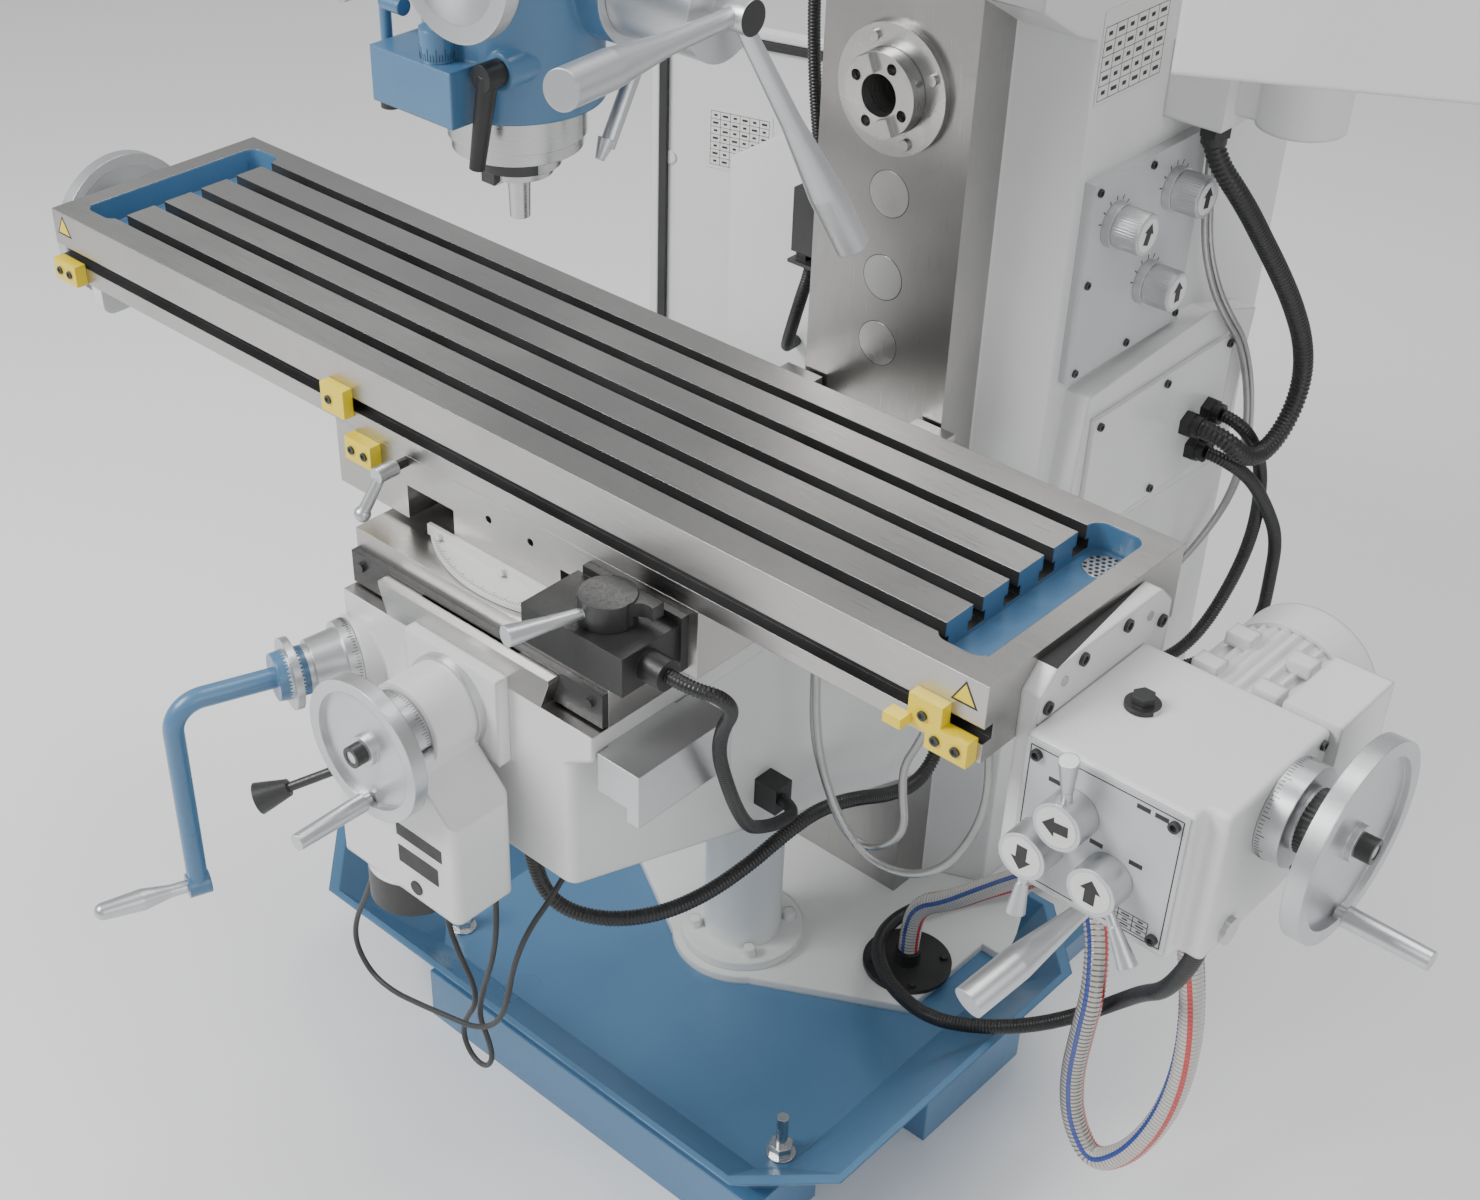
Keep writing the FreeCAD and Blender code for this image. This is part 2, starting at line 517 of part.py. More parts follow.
trough = block(("-trough_half", "-knee_front + 12", "knee_top + trough_floor"),
               ("2 * trough_half", "knee_front", "dovetail_height"))
screw_room = rod((0, "-screw_y", 200), "z", "screw_radius + 3.5", "knee_top - 257")
knee_hollow = block(("-knee_body_half + 22", "-screw_y - 300", "knee_front_bottom - 25"),
                    ("2 * knee_body_half - 44", 200, "knee_top - knee_front_bottom - 20"))
crank_aim = Vector(-math.sin(math.radians(size["crank_turn"])),
                   -math.cos(math.radians(size["crank_turn"])), 0)
crank_start = Vector(-size["knee_body_half"] - 24, -kf - 9, size["crank_height"])
crank_boss = solid(Part.makeCylinder(45, 84, crank_start - crank_aim * 90, crank_aim))
column_gib = [block((x, -4, 352), (36, 28, "knee_top - 360"))
              for x in ("way_half + 1", "-way_half - 37")]
knee = carve(join(knee_body, knee_deck, knee_tail, crank_boss, *column_gib),
             trough, screw_room, knee_hollow)
node("knee", rounded(knee, 10, lambda m, a: upright(m, a) and m.y < -kf + 1 and m.z < kt - 40
                     and m.x > 0))

scale_box = block(("knee_half + 3", "-knee_front + 4", "knee_top - 62"), (52, 128, 44))
scale_leg = block(("knee_half + 40", "-knee_front + 4", "knee_top - 78"), (15, 128, 20))
scale_foot = block(("knee_half", "-knee_front + 20", "knee_top - 26"), (20, 90, 8))
clip = block(("knee_body_half", -352, 440), (30, 26, 34))
node("scale_cover", join(scale_box, scale_leg, scale_foot), clip)

# Elevating crank at the knee's left front corner: dial, hub, light ring, bent arm and handle.
def along_crank(distance):
    return crank_start + crank_aim * distance


bend = 34
throw = size["crank_throw"]
arm_end = along_crank(186)
corner = along_crank(186 - bend)
down = Vector(0, 0, -1)
mid = corner + crank_aim * (bend * math.sin(math.radians(45)))
mid = mid + down * (bend * (1 - math.cos(math.radians(45))))
elbow_end = arm_end + down * bend
route = [Part.LineSegment(along_crank(70), corner).toShape(),
         Part.Arc(corner, mid, elbow_end).toShape(),
         Part.LineSegment(elbow_end, arm_end + down * (throw - 4)).toShape()]
bar = Part.Wire(Part.makeCircle(11, along_crank(70), crank_aim))
arm_shape = Part.Wire(route).makePipeShell([bar], True, True)
crank = arm_shape
for begin, span, first, last in ((-5.5, 14, 42, 41), (8.5, 32, 35, 30), (40.5, 18, 26, 26),
                                 (57, 8, 38, 38), (64, 14, 27, 25)):
    crank = crank.fuse(Part.makeCone(first, last - 0.001, span, along_crank(begin), crank_aim))
eye = arm_end + down * throw
crank = crank.fuse(Part.makeCylinder(13.5, 24, eye - crank_aim * 12, crank_aim))
grip = Part.makeCylinder(7, 20, eye + crank_aim * 12.3, crank_aim)
grip = grip.fuse(Part.makeCone(7, 12, 30, eye + crank_aim * 30, crank_aim))
grip = grip.fuse(Part.makeCone(12, 9.5, 42, eye + crank_aim * 60, crank_aim))
grip = grip.fuse(Part.makeSphere(9.5, eye + crank_aim * 102))
node("elevating_crank", solid(crank.removeSplitter()), solid(grip.removeSplitter()))

# Cross feed: square flange, round neck and the power feed's case with its motor below.
plate = block((-65, "-knee_front - 16", "knee_top - 87"), (130, 16, 101))
neck = rod((0, "-knee_front - 16", "feed_height"), "-y", 46, 60)
bright_ring = rod((0, "-knee_front - 16", "feed_height"), "-y", 50, 9)
case = profile("XZ_Plane", [(-89, 473), (85, 473), (85, 592), (42, 634), (42, 664), (-42, 664),
                            (-42, 634), (-89, 592)], "-knee_front - 97", 76)
dial_room = rod((0, "-knee_front - 76.5", "feed_height"), "-y", 42, 60)
case_round = carve(rounded(case, 9, lambda m, a: upright(m, a) and m.z < 600), dial_room)
node("feed_housing", join(plate, neck, bright_ring, case_round), join(rod((-26, "-knee_front - 58", 432), "z", 46, 41),
                        rod((-26, "-knee_front - 58", 426), "z", 38, 7)))
wheel_y = -kf - 77


def handwheel(centre, out, radius, dial, hub, stand, handle):
    """A solid-web handwheel on its dial: rim, thin web, hub, dial sleeve and turned handle."""
    face = centre + out * stand
    wheel = Part.makeCylinder(dial, hub, centre, out)
    wheel = wheel.fuse(Part.makeCylinder(dial * 0.6, stand - 8, centre, out))
    disc = Part.makeCylinder(radius, 16, face - out * 8, out)
    disc = disc.cut(Part.makeCylinder(radius - 13, 6, face + out * 2.01, out))
    disc = disc.cut(Part.makeCylinder(radius - 13, 5, face - out * 8.01, out))
    wheel = wheel.fuse(disc).fuse(Part.makeCylinder(16, 14, face - out * 6, out))
    wheel = wheel.fuse(Part.makeCylinder(7, 26, face - out * 6, out))
    pin = face + Vector(0, 0, -(radius - 16)) + out * 4
    wheel = wheel.fuse(Part.makeCylinder(6, 10, pin, out))
    return wheel.fuse(Part.makeCone(9.5, 8.5, handle, pin + out * 8, out)).removeSplitter()


node("cross_handwheel", solid(handwheel(Vector(0, wheel_y, size["feed_height"]), Vector(0, -1, 0),
                                        size["cross_wheel_radius"], 40, 22, 44, 80)))
lever = Part.makeCylinder(10, 12, Vector(-89.3, -kf - 76, 562), Vector(-1, 0, 0))
lever = lever.fuse(Part.makeCylinder(5, 76, Vector(-96, -kf - 76, 562), Vector(-0.62, -0.68, -0.38)))
lever = lever.fuse(Part.makeCone(9, 17, 34, Vector(-96, -kf - 76, 562)
                                 + Vector(-0.62, -0.68, -0.38) * 66, Vector(-0.62, -0.68, -0.38)))
node("feed_lever", solid(lever.removeSplitter()))

# --- saddle and swivel --------------------------------------------------------------------
clear = 0.3
groove = [(-foot - clear, kt - 2), (foot + clear, kt - 2), (foot + clear, kt),
          (tail + clear, top - 6), (tail + clear, top + clear),
          (-tail - clear, top + clear), (-tail - clear, top - 6), (-foot - clear, kt)]
saddle_box = block(("-saddle_half", "-saddle_front", "knee_top + slide_gap"),
                   ("2 * saddle_half", "saddle_front - saddle_back", "saddle_height - slide_gap"))
saddle_groove = profile("XZ_Plane", groove, "-saddle_front - 20", "saddle_front - saddle_back + 40")
node("saddle", carve(saddle_box, saddle_groove))
bar_box = block(("-saddle_half", "-saddle_front - bar_thick", "knee_top + 3"),
                ("2 * saddle_half", "bar_thick", "bar_height"))
bar_notch = profile("XZ_Plane", groove, "-saddle_front - 20", 30)
bar_screws = [rod((x, "-saddle_front - bar_thick - 4", "knee_top + 26"), "y", 5, 6)
              for x in (-160, 160)]
node("wiper_bar", join(carve(bar_box, bar_notch), *bar_screws))

swivel_box = block(("-swivel_half", TABLE_FRONT, SWIVEL_BOTTOM),
                   ("2 * swivel_half", "table_width", "swivel_height - slide_gap"))
turntable = rod((0, "-swivel_y", f"{SADDLE_TOP} + slide_gap"), "z", "turntable_radius",
                "turntable_height + 2")
windows = [block((x, f"{TABLE_FRONT} - 1", f"{SWIVEL_BOTTOM} - 1"), (67, 42, 39))
           for x in (-140.5, 73.5)]
bolt_holes = [rod((x, f"{TABLE_FRONT} - 1", f"{TABLE_BOTTOM} - 23"), "y", 4, 20) for x in (-23, 34)]
screw_way = block(("-swivel_half - 1", "-swivel_y - 26", f"{TABLE_BOTTOM} - 45"),
                  ("2 * swivel_half + 2", 52, 50))
node("swivel_body", carve(join(swivel_box, turntable), *windows, *bolt_holes, screw_way))
scale_disc = rod((0, "-swivel_y", f"{SADDLE_TOP} + 0.5"), "z", "scale_radius", 5.5)
scale_cut = block((-300, f"{TABLE_FRONT} - 0.01", f"{SADDLE_TOP} - 10"), (600, 600, 40))
scale_bar = block((-108, f"{TABLE_FRONT} - 5.02", f"{SADDLE_TOP} + 5"), (216, 5, 12))
scale_bolts = [rod((x, f"{TABLE_FRONT} - 9", f"{SADDLE_TOP} + 11"), "y", 4, 6) for x in (-90, 0, 90)]
node("swivel_scale", join(carve(scale_disc, scale_cut), scale_bar, *scale_bolts))

case = block((105, f"{TABLE_FRONT} - 80", f"{TABLE_BOTTOM} - 58"), (125, 72, 41))
mount = block((112, f"{TABLE_FRONT} - 9", f"{TABLE_BOTTOM} - 66"), (122, 8.9, 58))
gland = rod((229, f"{TABLE_FRONT} - 48", f"{TABLE_BOTTOM} - 38"), "x", 15, 26)
stop = block((-216, f"{TABLE_FRONT} - 14", f"{TABLE_BOTTOM} - 29"), (39, 13.9, 26))
node("switch_box", join(case, mount, gland), stop)
cam_centre = Vector(176, table_front - 42, table_bottom - 16.7)
cam = Part.makeCylinder(27, 26, cam_centre)
cam = cam.fuse(Part.makeBox(40, 22, 14, cam_centre + Vector(4, 3, 10)))
cam = cam.cut(Part.makeCylinder(12, 40, cam_centre + Vector(38, 0, -5)))
aim = Vector(-0.24, -0.95, 0.05)
cam = cam.fuse(Part.makeCone(5, 7, 46, cam_centre + Vector(0, 0, 12) + aim * 20, aim))
cam = cam.fuse(Part.makeCone(7, 10, 40, cam_centre + Vector(0, 0, 12) + aim * 64, aim))
node("switch_lever", solid(cam.removeSplitter()))

root = Vector(-140, table_front - 0.3, table_bottom - 8)
aim = Vector(-0.2, -0.55, -1).normalize()
lever = Part.makeCylinder(5, 14, root, Vector(0, -1, 0))
lever = lever.fuse(Part.makeCylinder(8.5, 24, root + Vector(0, -14, 0), Vector(0, -1, 0)))
lever = lever.fuse(Part.makeCone(5.5, 6.5, 46, root + Vector(0, -30, 0), aim))
lever = lever.fuse(Part.makeSphere(8.5, root + Vector(0, -30, 0) + aim * 46))
node("clamp_lever", solid(lever.removeSplitter()))

# --- table with its slots, pockets and groove -------------------------------------------------
slab = block((TABLE_LEFT, TABLE_FRONT, TABLE_BOTTOM), ("table_length", "table_width", "table_thick"))
slot_from, slot_run = f"{TABLE_LEFT} + end_wall", "table_length - 2 * end_wall"
slots = []
for number in range(-2, 3):
    y = f"-swivel_y + {number} * slot_pitch"
    slots.append(block((slot_from, f"{y} - slot_width / 2", f"{TABLE_TOP} - slot_depth"),
                       (slot_run, "slot_width", "slot_depth + 1")))
    slots.append(block((slot_from, f"{y} - slot_head / 2", f"{TABLE_TOP} - slot_depth"),
                       (slot_run, "slot_head", "slot_head_height")))
pockets = []
for x in (f"{TABLE_LEFT} + end_wall", f"{TABLE_RIGHT} - end_wall - pocket_length"):
    pocket = block((x, f"{TABLE_FRONT} + 26.5", f"{TABLE_TOP} - slot_depth - 4"),
                   ("pocket_length", "table_width - 45", "slot_depth + 10"))
    pockets.append(rounded(pocket, 14, upright))
groove_cut = block((f"{TABLE_LEFT} - 1", f"{TABLE_FRONT} - 1", f"{TABLE_TOP} - groove_drop - groove_height"),
                   ("table_length + 2", "groove_depth + 1", "groove_height"))
screw_cut = block((f"{TABLE_LEFT} - 1", "-swivel_y - 26", f"{TABLE_BOTTOM} - 1"),
                  ("table_length + 2", 52, 31))
node("table", carve(slab, *slots, *pockets, groove_cut, screw_cut))

node("lead_screw", rod((f"{TABLE_LEFT} - 20", "-swivel_y", SCREW_Z), "x", 14,
                       "table_length + 38"))

left_bracket = block((f"{TABLE_LEFT} - 20.1", "-swivel_y - 95", f"{TABLE_TOP} - 150"), (20, 190, 138))
bracket_bore = rod((f"{TABLE_LEFT} - 30", "-swivel_y", SCREW_Z), "x", "14 + fit", 40)
node("end_bracket", rounded(carve(left_bracket, bracket_bore), 14,
                            lambda m, a: abs(a.x) > 0.99 and abs(m.y + size["swivel_y"]) > 90))

dogs = []
for x, long, z in ((-250, 35, "groove_drop - 10"), (480, 33, "groove_drop - 10")):
    dog = block((f"{x}", f"{TABLE_FRONT} - 12.1", f"{TABLE_TOP} - 62"), (long, 12, 31))
    tab = block((f"{x - 14}", f"{TABLE_FRONT} - 26", f"{TABLE_TOP} - 60"), (18, 14, 10))
    dogs.append(join(dog, tab) if x > 0 else dog)
for x in (f"{TABLE_LEFT} + 10", f"{TABLE_RIGHT} - 45"):
    dogs.append(block((x, f"{TABLE_FRONT} - 14.1", f"{TABLE_TOP} - 75"), (41, 14, 24)))
node("trip_dogs", *dogs)

# --- table feed gearbox on the right end ------------------------------------------------------
gx = table_right + size["end_plate"]
plate_outline = [(-515, table_top - 200), (-515, table_top - 27), (-496, table_top - 8),
                 (-343, table_top - 8), (-324, table_top - 27), (-324, table_top - 200)]
end_plate = profile("YZ_Plane", plate_outline, f"{TABLE_RIGHT} + 0.1", "end_plate")
case = block((f"{TABLE_RIGHT} + end_plate", "-swivel_y - 107", f"{TABLE_TOP} - 51.4 - gearbox_height"),
             ("gearbox_width", "gearbox_depth", "gearbox_height"))
step = block((f"{TABLE_RIGHT} + end_plate + gearbox_width - 20", "-swivel_y - 108",
              f"{TABLE_TOP} - 300"), (30, 19, 400))
plug = join(rod((f"{TABLE_RIGHT} + 66", "-swivel_y - 16", f"{TABLE_TOP} - 51.4"), "z", 15, 4),
            hexagon((f"{TABLE_RIGHT} + 66", "-swivel_y - 16", f"{TABLE_TOP} - 47.4"), "z", 10, 8))
glass = rod((f"{TABLE_RIGHT} + end_plate + gearbox_width", "-swivel_y - 54", f"{TABLE_TOP} - 187"),
            "x", 12, 5)
gear_bore = rod((f"{TABLE_RIGHT} - 30", "-swivel_y", SCREW_Z), "x", "14 + fit", 60)
gearbox = rounded(carve(case, step), 5, lambda m, a: m.z > table_top - 60 or upright(m, a))
node("gearbox", carve(join(end_plate, gearbox, plug, glass), gear_bore))
node("gearbox_panel", block((f"{TABLE_RIGHT} + end_plate + 3", "-swivel_y - 109.1",
                             f"{TABLE_TOP} - 50 - gearbox_height + 2"), (147, 2, 141)))
motor_y = -size["swivel_y"] + 63.1
motor = rod((gx + 77, motor_y, f"{TABLE_TOP} - 130"), "y", "motor_radius", 118)
fan = rod((gx + 77, motor_y + 118, f"{TABLE_TOP} - 130"), "y", "motor_radius + 4", 42)
terminal = block((gx + 128, motor_y, f"{TABLE_TOP} - 132"), (52, 86, 84))
feet = [block((gx + 77 + dx, motor_y + dy, f"{TABLE_TOP} - 72"), (24, 18, 12))
        for dx in (-40, 16) for dy in (16, 70)]
node("table_motor", join(motor, fan, terminal, *feet))

levers = ((617.6, table_top - 100.8, 90, 44), (590.9, table_top - 147.5, -90, 40),
          (655.7, table_top - 145.2, -52, 46))
for number, (x, z, angle, arm) in enumerate(levers, 1):
    centre = Vector(x, -size["swivel_y"] - 109.4, z)
    a = math.radians(angle)
    aim = Vector(math.cos(a), -0.15, math.sin(a))
    knob = Part.makeCylinder(22, 26, centre, Vector(0, -1, 0))
    start = centre + Vector(0, -13, 0)
    knob = knob.fuse(Part.makeCylinder(4.5, 22 + arm * 0.5, start, aim))
    knob = knob.fuse(Part.makeCone(5, 8.5, arm * 0.75, start + aim * (20 + arm * 0.3), aim))
    node(f"feed_selector_{number}", solid(knob.removeSplitter()))

engage_root = Vector(630, -size["swivel_y"] - 44, table_top - 51.7 - size["gearbox_height"])
engage = Part.makeCylinder(15, 24, engage_root, Vector(0, 0, -1))
engage_aim = Vector(600, -622, 659) - Vector(630, -466, 705)
engage = engage.fuse(lever_arm(engage_root + Vector(0, 0, -14), engage_aim, 166, 6, 15, 120))
node("feed_engage_lever", solid(engage.removeSplitter()))

right_end = Vector(gx + size["gearbox_width"] + 0.3, -size["swivel_y"], screw_z)
node("handwheel_right", solid(handwheel(right_end, Vector(1, 0, 0), size["wheel_radius"],
                                        44, 21, 58, 72)))
left_end = Vector(table_left - 20.4, -size["swivel_y"], screw_z)
node("handwheel_left", solid(handwheel(left_end, Vector(-1, 0, 0), size["wheel_radius"],
                                       40, 20, 62, 72)))


# --- cords: each a tube of one diameter, straight runs joined by arcs ------------------------------
def cord(name, diameter, *route):
    """A closed tube along a route of points: runs with an arc as large as they allow at each."""
    points = [Vector(*p) for p in route]
    edges, reach, radii = [], points[0], []
    for before, corner, after in zip(points, points[1:], points[2:]):
        back, ahead = before - corner, after - corner
        turn_angle = math.pi - back.getAngle(ahead)
        cut_back = 0.45 * min(back.Length, ahead.Length)
        radii.append(cut_back / math.tan(turn_angle / 2))
        start = corner + back.normalize() * cut_back
        end = corner + ahead.normalize() * cut_back
        inward = (back + ahead).normalize()
        sagitta = radii[-1] / math.cos(turn_angle / 2) - radii[-1]
        edges.append(Part.LineSegment(reach, start).toShape())
        edges.append(Part.Arc(start, corner + inward * sagitta, end).toShape())
        reach = end
    edges.append(Part.LineSegment(reach, points[-1]).toShape())
    spine = Part.Wire(edges)
    section = Part.Wire(Part.makeCircle(diameter / 2, points[0], points[1] - points[0]))
    tube = spine.makePipeShell([section], True, True)
    whole = math.pi * diameter ** 2 / 4 * spine.Length
    assert abs(tube.Volume / whole - 1) < 0.01, f"{name} lost volume: {tube.Volume / whole:.3f}"
    print(f"{name}: {spine.Length:.0f} mm long, tightest arc {min(radii):.0f} mm")
    return node(name, solid(tube))


pump_top = foot_top + 26
cord("feed_cable_1", 6, (-80, -690, 473), (-80, -690, 430), (-100, -690, 378), (-125, -690, 325),
     (-130, -690, 285), (-108, -690, 256), (-72, -690, 252), (-28, -690, 264), (18, -688, 276),
     (58, -684, 284), (88, -680, 310), (100, -676, 350), (102, -668, 395), (110, -652, 440),
     (116, -625, 468), (118, -600, 497))
cord("feed_cable_2", 6, (5, -670, 426), (5, -670, 392), (20, -668, 352), (38, -666, 318),
     (36, -665, 288), (18, -665, 256), (12, -665, 226), (28, -667, 206), (50, -668, 206),
     (64, -669, 230), (60, -670, 258), (48, -672, 288), (58, -672, 335), (72, -670, 380),
     (78, -666, 430), (78, -666, 473))
cord("coolant_hose", 26, (528, -297, 845), (528, -297, 790), (540, -284, 725), (560, -270, 655),
     (585, -262, 585), (608, -258, 510), (626, -257, 440), (637, -258, 370), (637, -259, 300),
     (624, -260, 230), (598, -260, 165), (562, -260, 125), (530, -259, 165), (519, -258, 225),
     (521, -256, 290), (522, -248, 350), (498, -218, 400), (450, -172, 405), (400, -132, 360),
     (345, -108, 300), (290, -98, 240), (240, -94, 185), (205, -93, 158),
     (190, -92, 120), (190, -92, pump_top))
cord("floor_conduit", 17, (690, -400, 722.5), (690, -400, 670), (680, -390, 600), (640, -345, 500),
     (584, -268, 402), (538, -216, 320), (492, -200, 255), (440, -212, 208), (382, -226, 174),
     (326, -234, 152), (268, -212, 128), (218, -180, 108), (174, -140, 96), (150, -80, 84),
     (158, -10, 74), (184, 52, 68), (218, 100, 66), (238, 145, 66), (236, 190, 66), (206, 226, 70), (166, 240, 74))
cord("knee_conduit", 17, (60, -600, 497), (62, -598, 452), (84, -590, 412), (122, -560, 396),
     (150, -508, 386), (164, -450, 384), (172, -390, 392), (176, -340, 404), (184, -290, 416),
     (192, -236, 404), (196, -176, 374), (196, -120, 358), (194, -84, 380), (188, -66, 428),
     (172, -60, 470), (142, -60, 480))
cord("switch_conduit", 14, (255, -610, 807), (282, -610, 807), (302, -594, 800), (298, -572, 770),
     (272, -556, 728), (254, -540, 680), (248, -520, 630), (244, -498, 580), (236, -470, 536),
     (222, -434, 504), (214, -396, 480), (200, -346, 458), (175, -342, 457))
cord("arm_conduit", 24, (222, 268, 1020), (231, 270, 999), (247, 284, 972), (255, 312, 938),
     (259, 346, 898), (267, 384, 850), (277, 421, 796), (284, 456, 736), (287, 470, 680), (286, 454, 630),
     (284, 414, 604), (278, 374, 610), (260, 352, 640), (228, 352, 640))

# --- check and write --------------------------------------------------------------------------
doc.recompute()
for thing in doc.Objects:
    assert not {"Invalid", "Error"} & set(thing.State), f"{thing.Label} failed: {thing.State}"
os.makedirs("parts", exist_ok=True)
for piece in NODES:
    shape = piece.Shape
    assert not shape.isNull() and shape.isValid(), f"{piece.Label} is not a sound shape"
    assert shape.Solids, f"{piece.Label} has no solid"
    shape.exportStep(f"parts/{piece.Label}.step")
print(len(NODES), "nodes written")
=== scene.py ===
import math

import bpy
import numpy as np
from mathutils import Matrix, Vector


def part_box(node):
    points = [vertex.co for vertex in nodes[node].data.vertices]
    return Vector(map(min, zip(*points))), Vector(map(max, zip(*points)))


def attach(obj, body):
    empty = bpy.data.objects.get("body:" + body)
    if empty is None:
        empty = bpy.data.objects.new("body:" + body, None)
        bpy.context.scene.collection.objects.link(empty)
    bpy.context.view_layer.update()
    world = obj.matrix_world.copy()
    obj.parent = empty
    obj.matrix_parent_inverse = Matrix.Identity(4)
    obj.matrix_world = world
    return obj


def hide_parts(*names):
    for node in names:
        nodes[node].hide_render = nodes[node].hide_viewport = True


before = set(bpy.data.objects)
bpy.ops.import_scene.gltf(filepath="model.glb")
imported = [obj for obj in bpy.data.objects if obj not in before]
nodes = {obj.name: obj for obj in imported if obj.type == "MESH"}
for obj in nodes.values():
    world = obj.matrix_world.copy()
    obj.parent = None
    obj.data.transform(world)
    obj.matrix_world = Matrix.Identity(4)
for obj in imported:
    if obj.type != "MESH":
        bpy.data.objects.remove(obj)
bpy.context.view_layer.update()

# --- Viewpoint ---------------------------------------------------------------------------
# The eye is above the machine's right front corner and looks down on the table. The view's
# right and down directions are given, made square, and the shift centres the machine.
eye = (1.2217, -1.6668, 1.8804)
right = Vector((0.7214, 0.6925, 0.0041))
down = Vector((0.4114, -0.4285, -0.8041))
ahead = right.cross(down).normalized()
right = down.cross(ahead).normalized()
axes = Matrix((right, -down, -ahead)).transposed()
camera = bpy.data.objects.new("camera", bpy.data.cameras.new("camera"))
camera.matrix_world = Matrix.Translation(eye) @ axes.to_4x4()
camera.data.lens = 50.40
camera.data.sensor_width = 36
camera.data.shift_x = 0.0718
camera.data.shift_y = 0.0415
camera.data.clip_end = 50
bpy.context.scene.collection.objects.link(camera)
bpy.context.scene.camera = camera


# --- Base tray, foot and elevating screw's housing -------------------------------------------
# Grey iron castings, filled, rubbed down and sprayed with two-pack paint: a faint orange peel,
# softer broad waves where the filler was worked, and edges that catch the light.
def finish(name, colour, rough, metal=0.0):
    """A material with its Principled shader, ready for its own detail nodes."""
    material = bpy.data.materials.new(name)
    material.use_nodes = True
    shader = material.node_tree.nodes["Principled BSDF"]
    shader.inputs["Base Color"].default_value = (*colour, 1)
    shader.inputs["Roughness"].default_value = rough
    shader.inputs["Metallic"].default_value = metal
    return material, material.node_tree, shader


def node(tree, kind, **values):
    """One shader node, its named sockets or settings filled in."""
    made = tree.nodes.new("ShaderNode" + kind)
    for key, value in values.items():
        socket = made.inputs.get(key.replace("_", " "))
        if socket is not None:
            socket.default_value = value
        else:
            setattr(made, key, value)
    return made


def placed(tree, stretch=(1, 1, 1)):
    """Object coordinates, stretched along the axes, so a pattern stays on its piece."""
    coordinates = node(tree, "TexCoord")
    mapping = node(tree, "Mapping")
    mapping.inputs["Scale"].default_value = stretch
    tree.links.new(coordinates.outputs["Object"], mapping.inputs["Vector"])
    return mapping.outputs["Vector"]


def mottle(tree, shader, where, colours, scale, low=0.3, high=0.7, detail=4.0):
    """The shader's colour drifts between two colours as noise goes from low to high."""
    noise = node(tree, "TexNoise", Scale=scale, Detail=detail)
    tree.links.new(where, noise.inputs["Vector"])
    ramp = node(tree, "ValToRGB")
    ramp.color_ramp.elements[0].position = low
    ramp.color_ramp.elements[1].position = high
    for element, colour in zip(ramp.color_ramp.elements, colours):
        element.color = (*colour, 1)
    tree.links.new(noise.outputs["Fac"], ramp.inputs["Fac"])
    tree.links.new(ramp.outputs["Color"], shader.inputs["Base Color"])
    return noise.outputs["Fac"]


def bumped(tree, shader, height, strength, distance, edge):
    """Bump from a height, on top of edges rounded by a radius, as cast or broken corners are."""
    bump = node(tree, "Bump", Strength=strength, Distance=distance)
    tree.links.new(height, bump.inputs["Height"])
    rounded = node(tree, "Bevel", samples=6, Radius=edge)
    tree.links.new(rounded.outputs["Normal"], bump.inputs["Normal"])
    tree.links.new(bump.outputs["Normal"], shader.inputs["Normal"])


def varied_roughness(tree, shader, value, low, high):
    """Roughness that follows a pattern between two values."""
    remap = node(tree, "MapRange", From_Min=0.3, From_Max=0.7, To_Min=low, To_Max=high)
    tree.links.new(value, remap.inputs["Value"])
    tree.links.new(remap.outputs["Result"], shader.inputs["Roughness"])


def paint(name, light, dark, rough=0.3, edge=0.004):
    """Machine paint: two near tones, orange peel, filler waves and a clear top coat."""
    material, tree, shader = finish(name, light, rough)
    where = placed(tree)
    tone = mottle(tree, shader, where, (dark, light), scale=2.2)
    peel = node(tree, "TexNoise", Scale=420.0, Detail=2.0)
    waves = node(tree, "TexNoise", Scale=16.0, Detail=3.0)
    wave_share = 9.0
    both = node(tree, "Math", operation="MULTIPLY_ADD")
    both.inputs[1].default_value = wave_share
    tree.links.new(where, peel.inputs["Vector"])
    tree.links.new(where, waves.inputs["Vector"])
    tree.links.new(waves.outputs["Fac"], both.inputs[0])
    tree.links.new(peel.outputs["Fac"], both.inputs[2])
    bumped(tree, shader, both.outputs["Value"], strength=0.32, distance=0.0004, edge=edge)
    varied_roughness(tree, shader, tone, rough - 0.06, rough + 0.08)
    shader.inputs["Coat Weight"].default_value = 0.25
    shader.inputs["Coat Roughness"].default_value = 0.15
    return material


def wear(*names, material):
    """Give CAD nodes a material in their own slot."""
    for name in names:
        nodes[name].data.materials.clear()
        nodes[name].data.materials.append(material)


white = paint("white_paint", (0.74, 0.745, 0.73), (0.64, 0.65, 0.64), rough=0.34, edge=0.006)
blue = paint("blue_paint", (0.085, 0.20, 0.345), (0.055, 0.15, 0.275), rough=0.3, edge=0.004)
wear("base_tray", material=blue)
wear("machine_foot", "screw_housing", material=white)


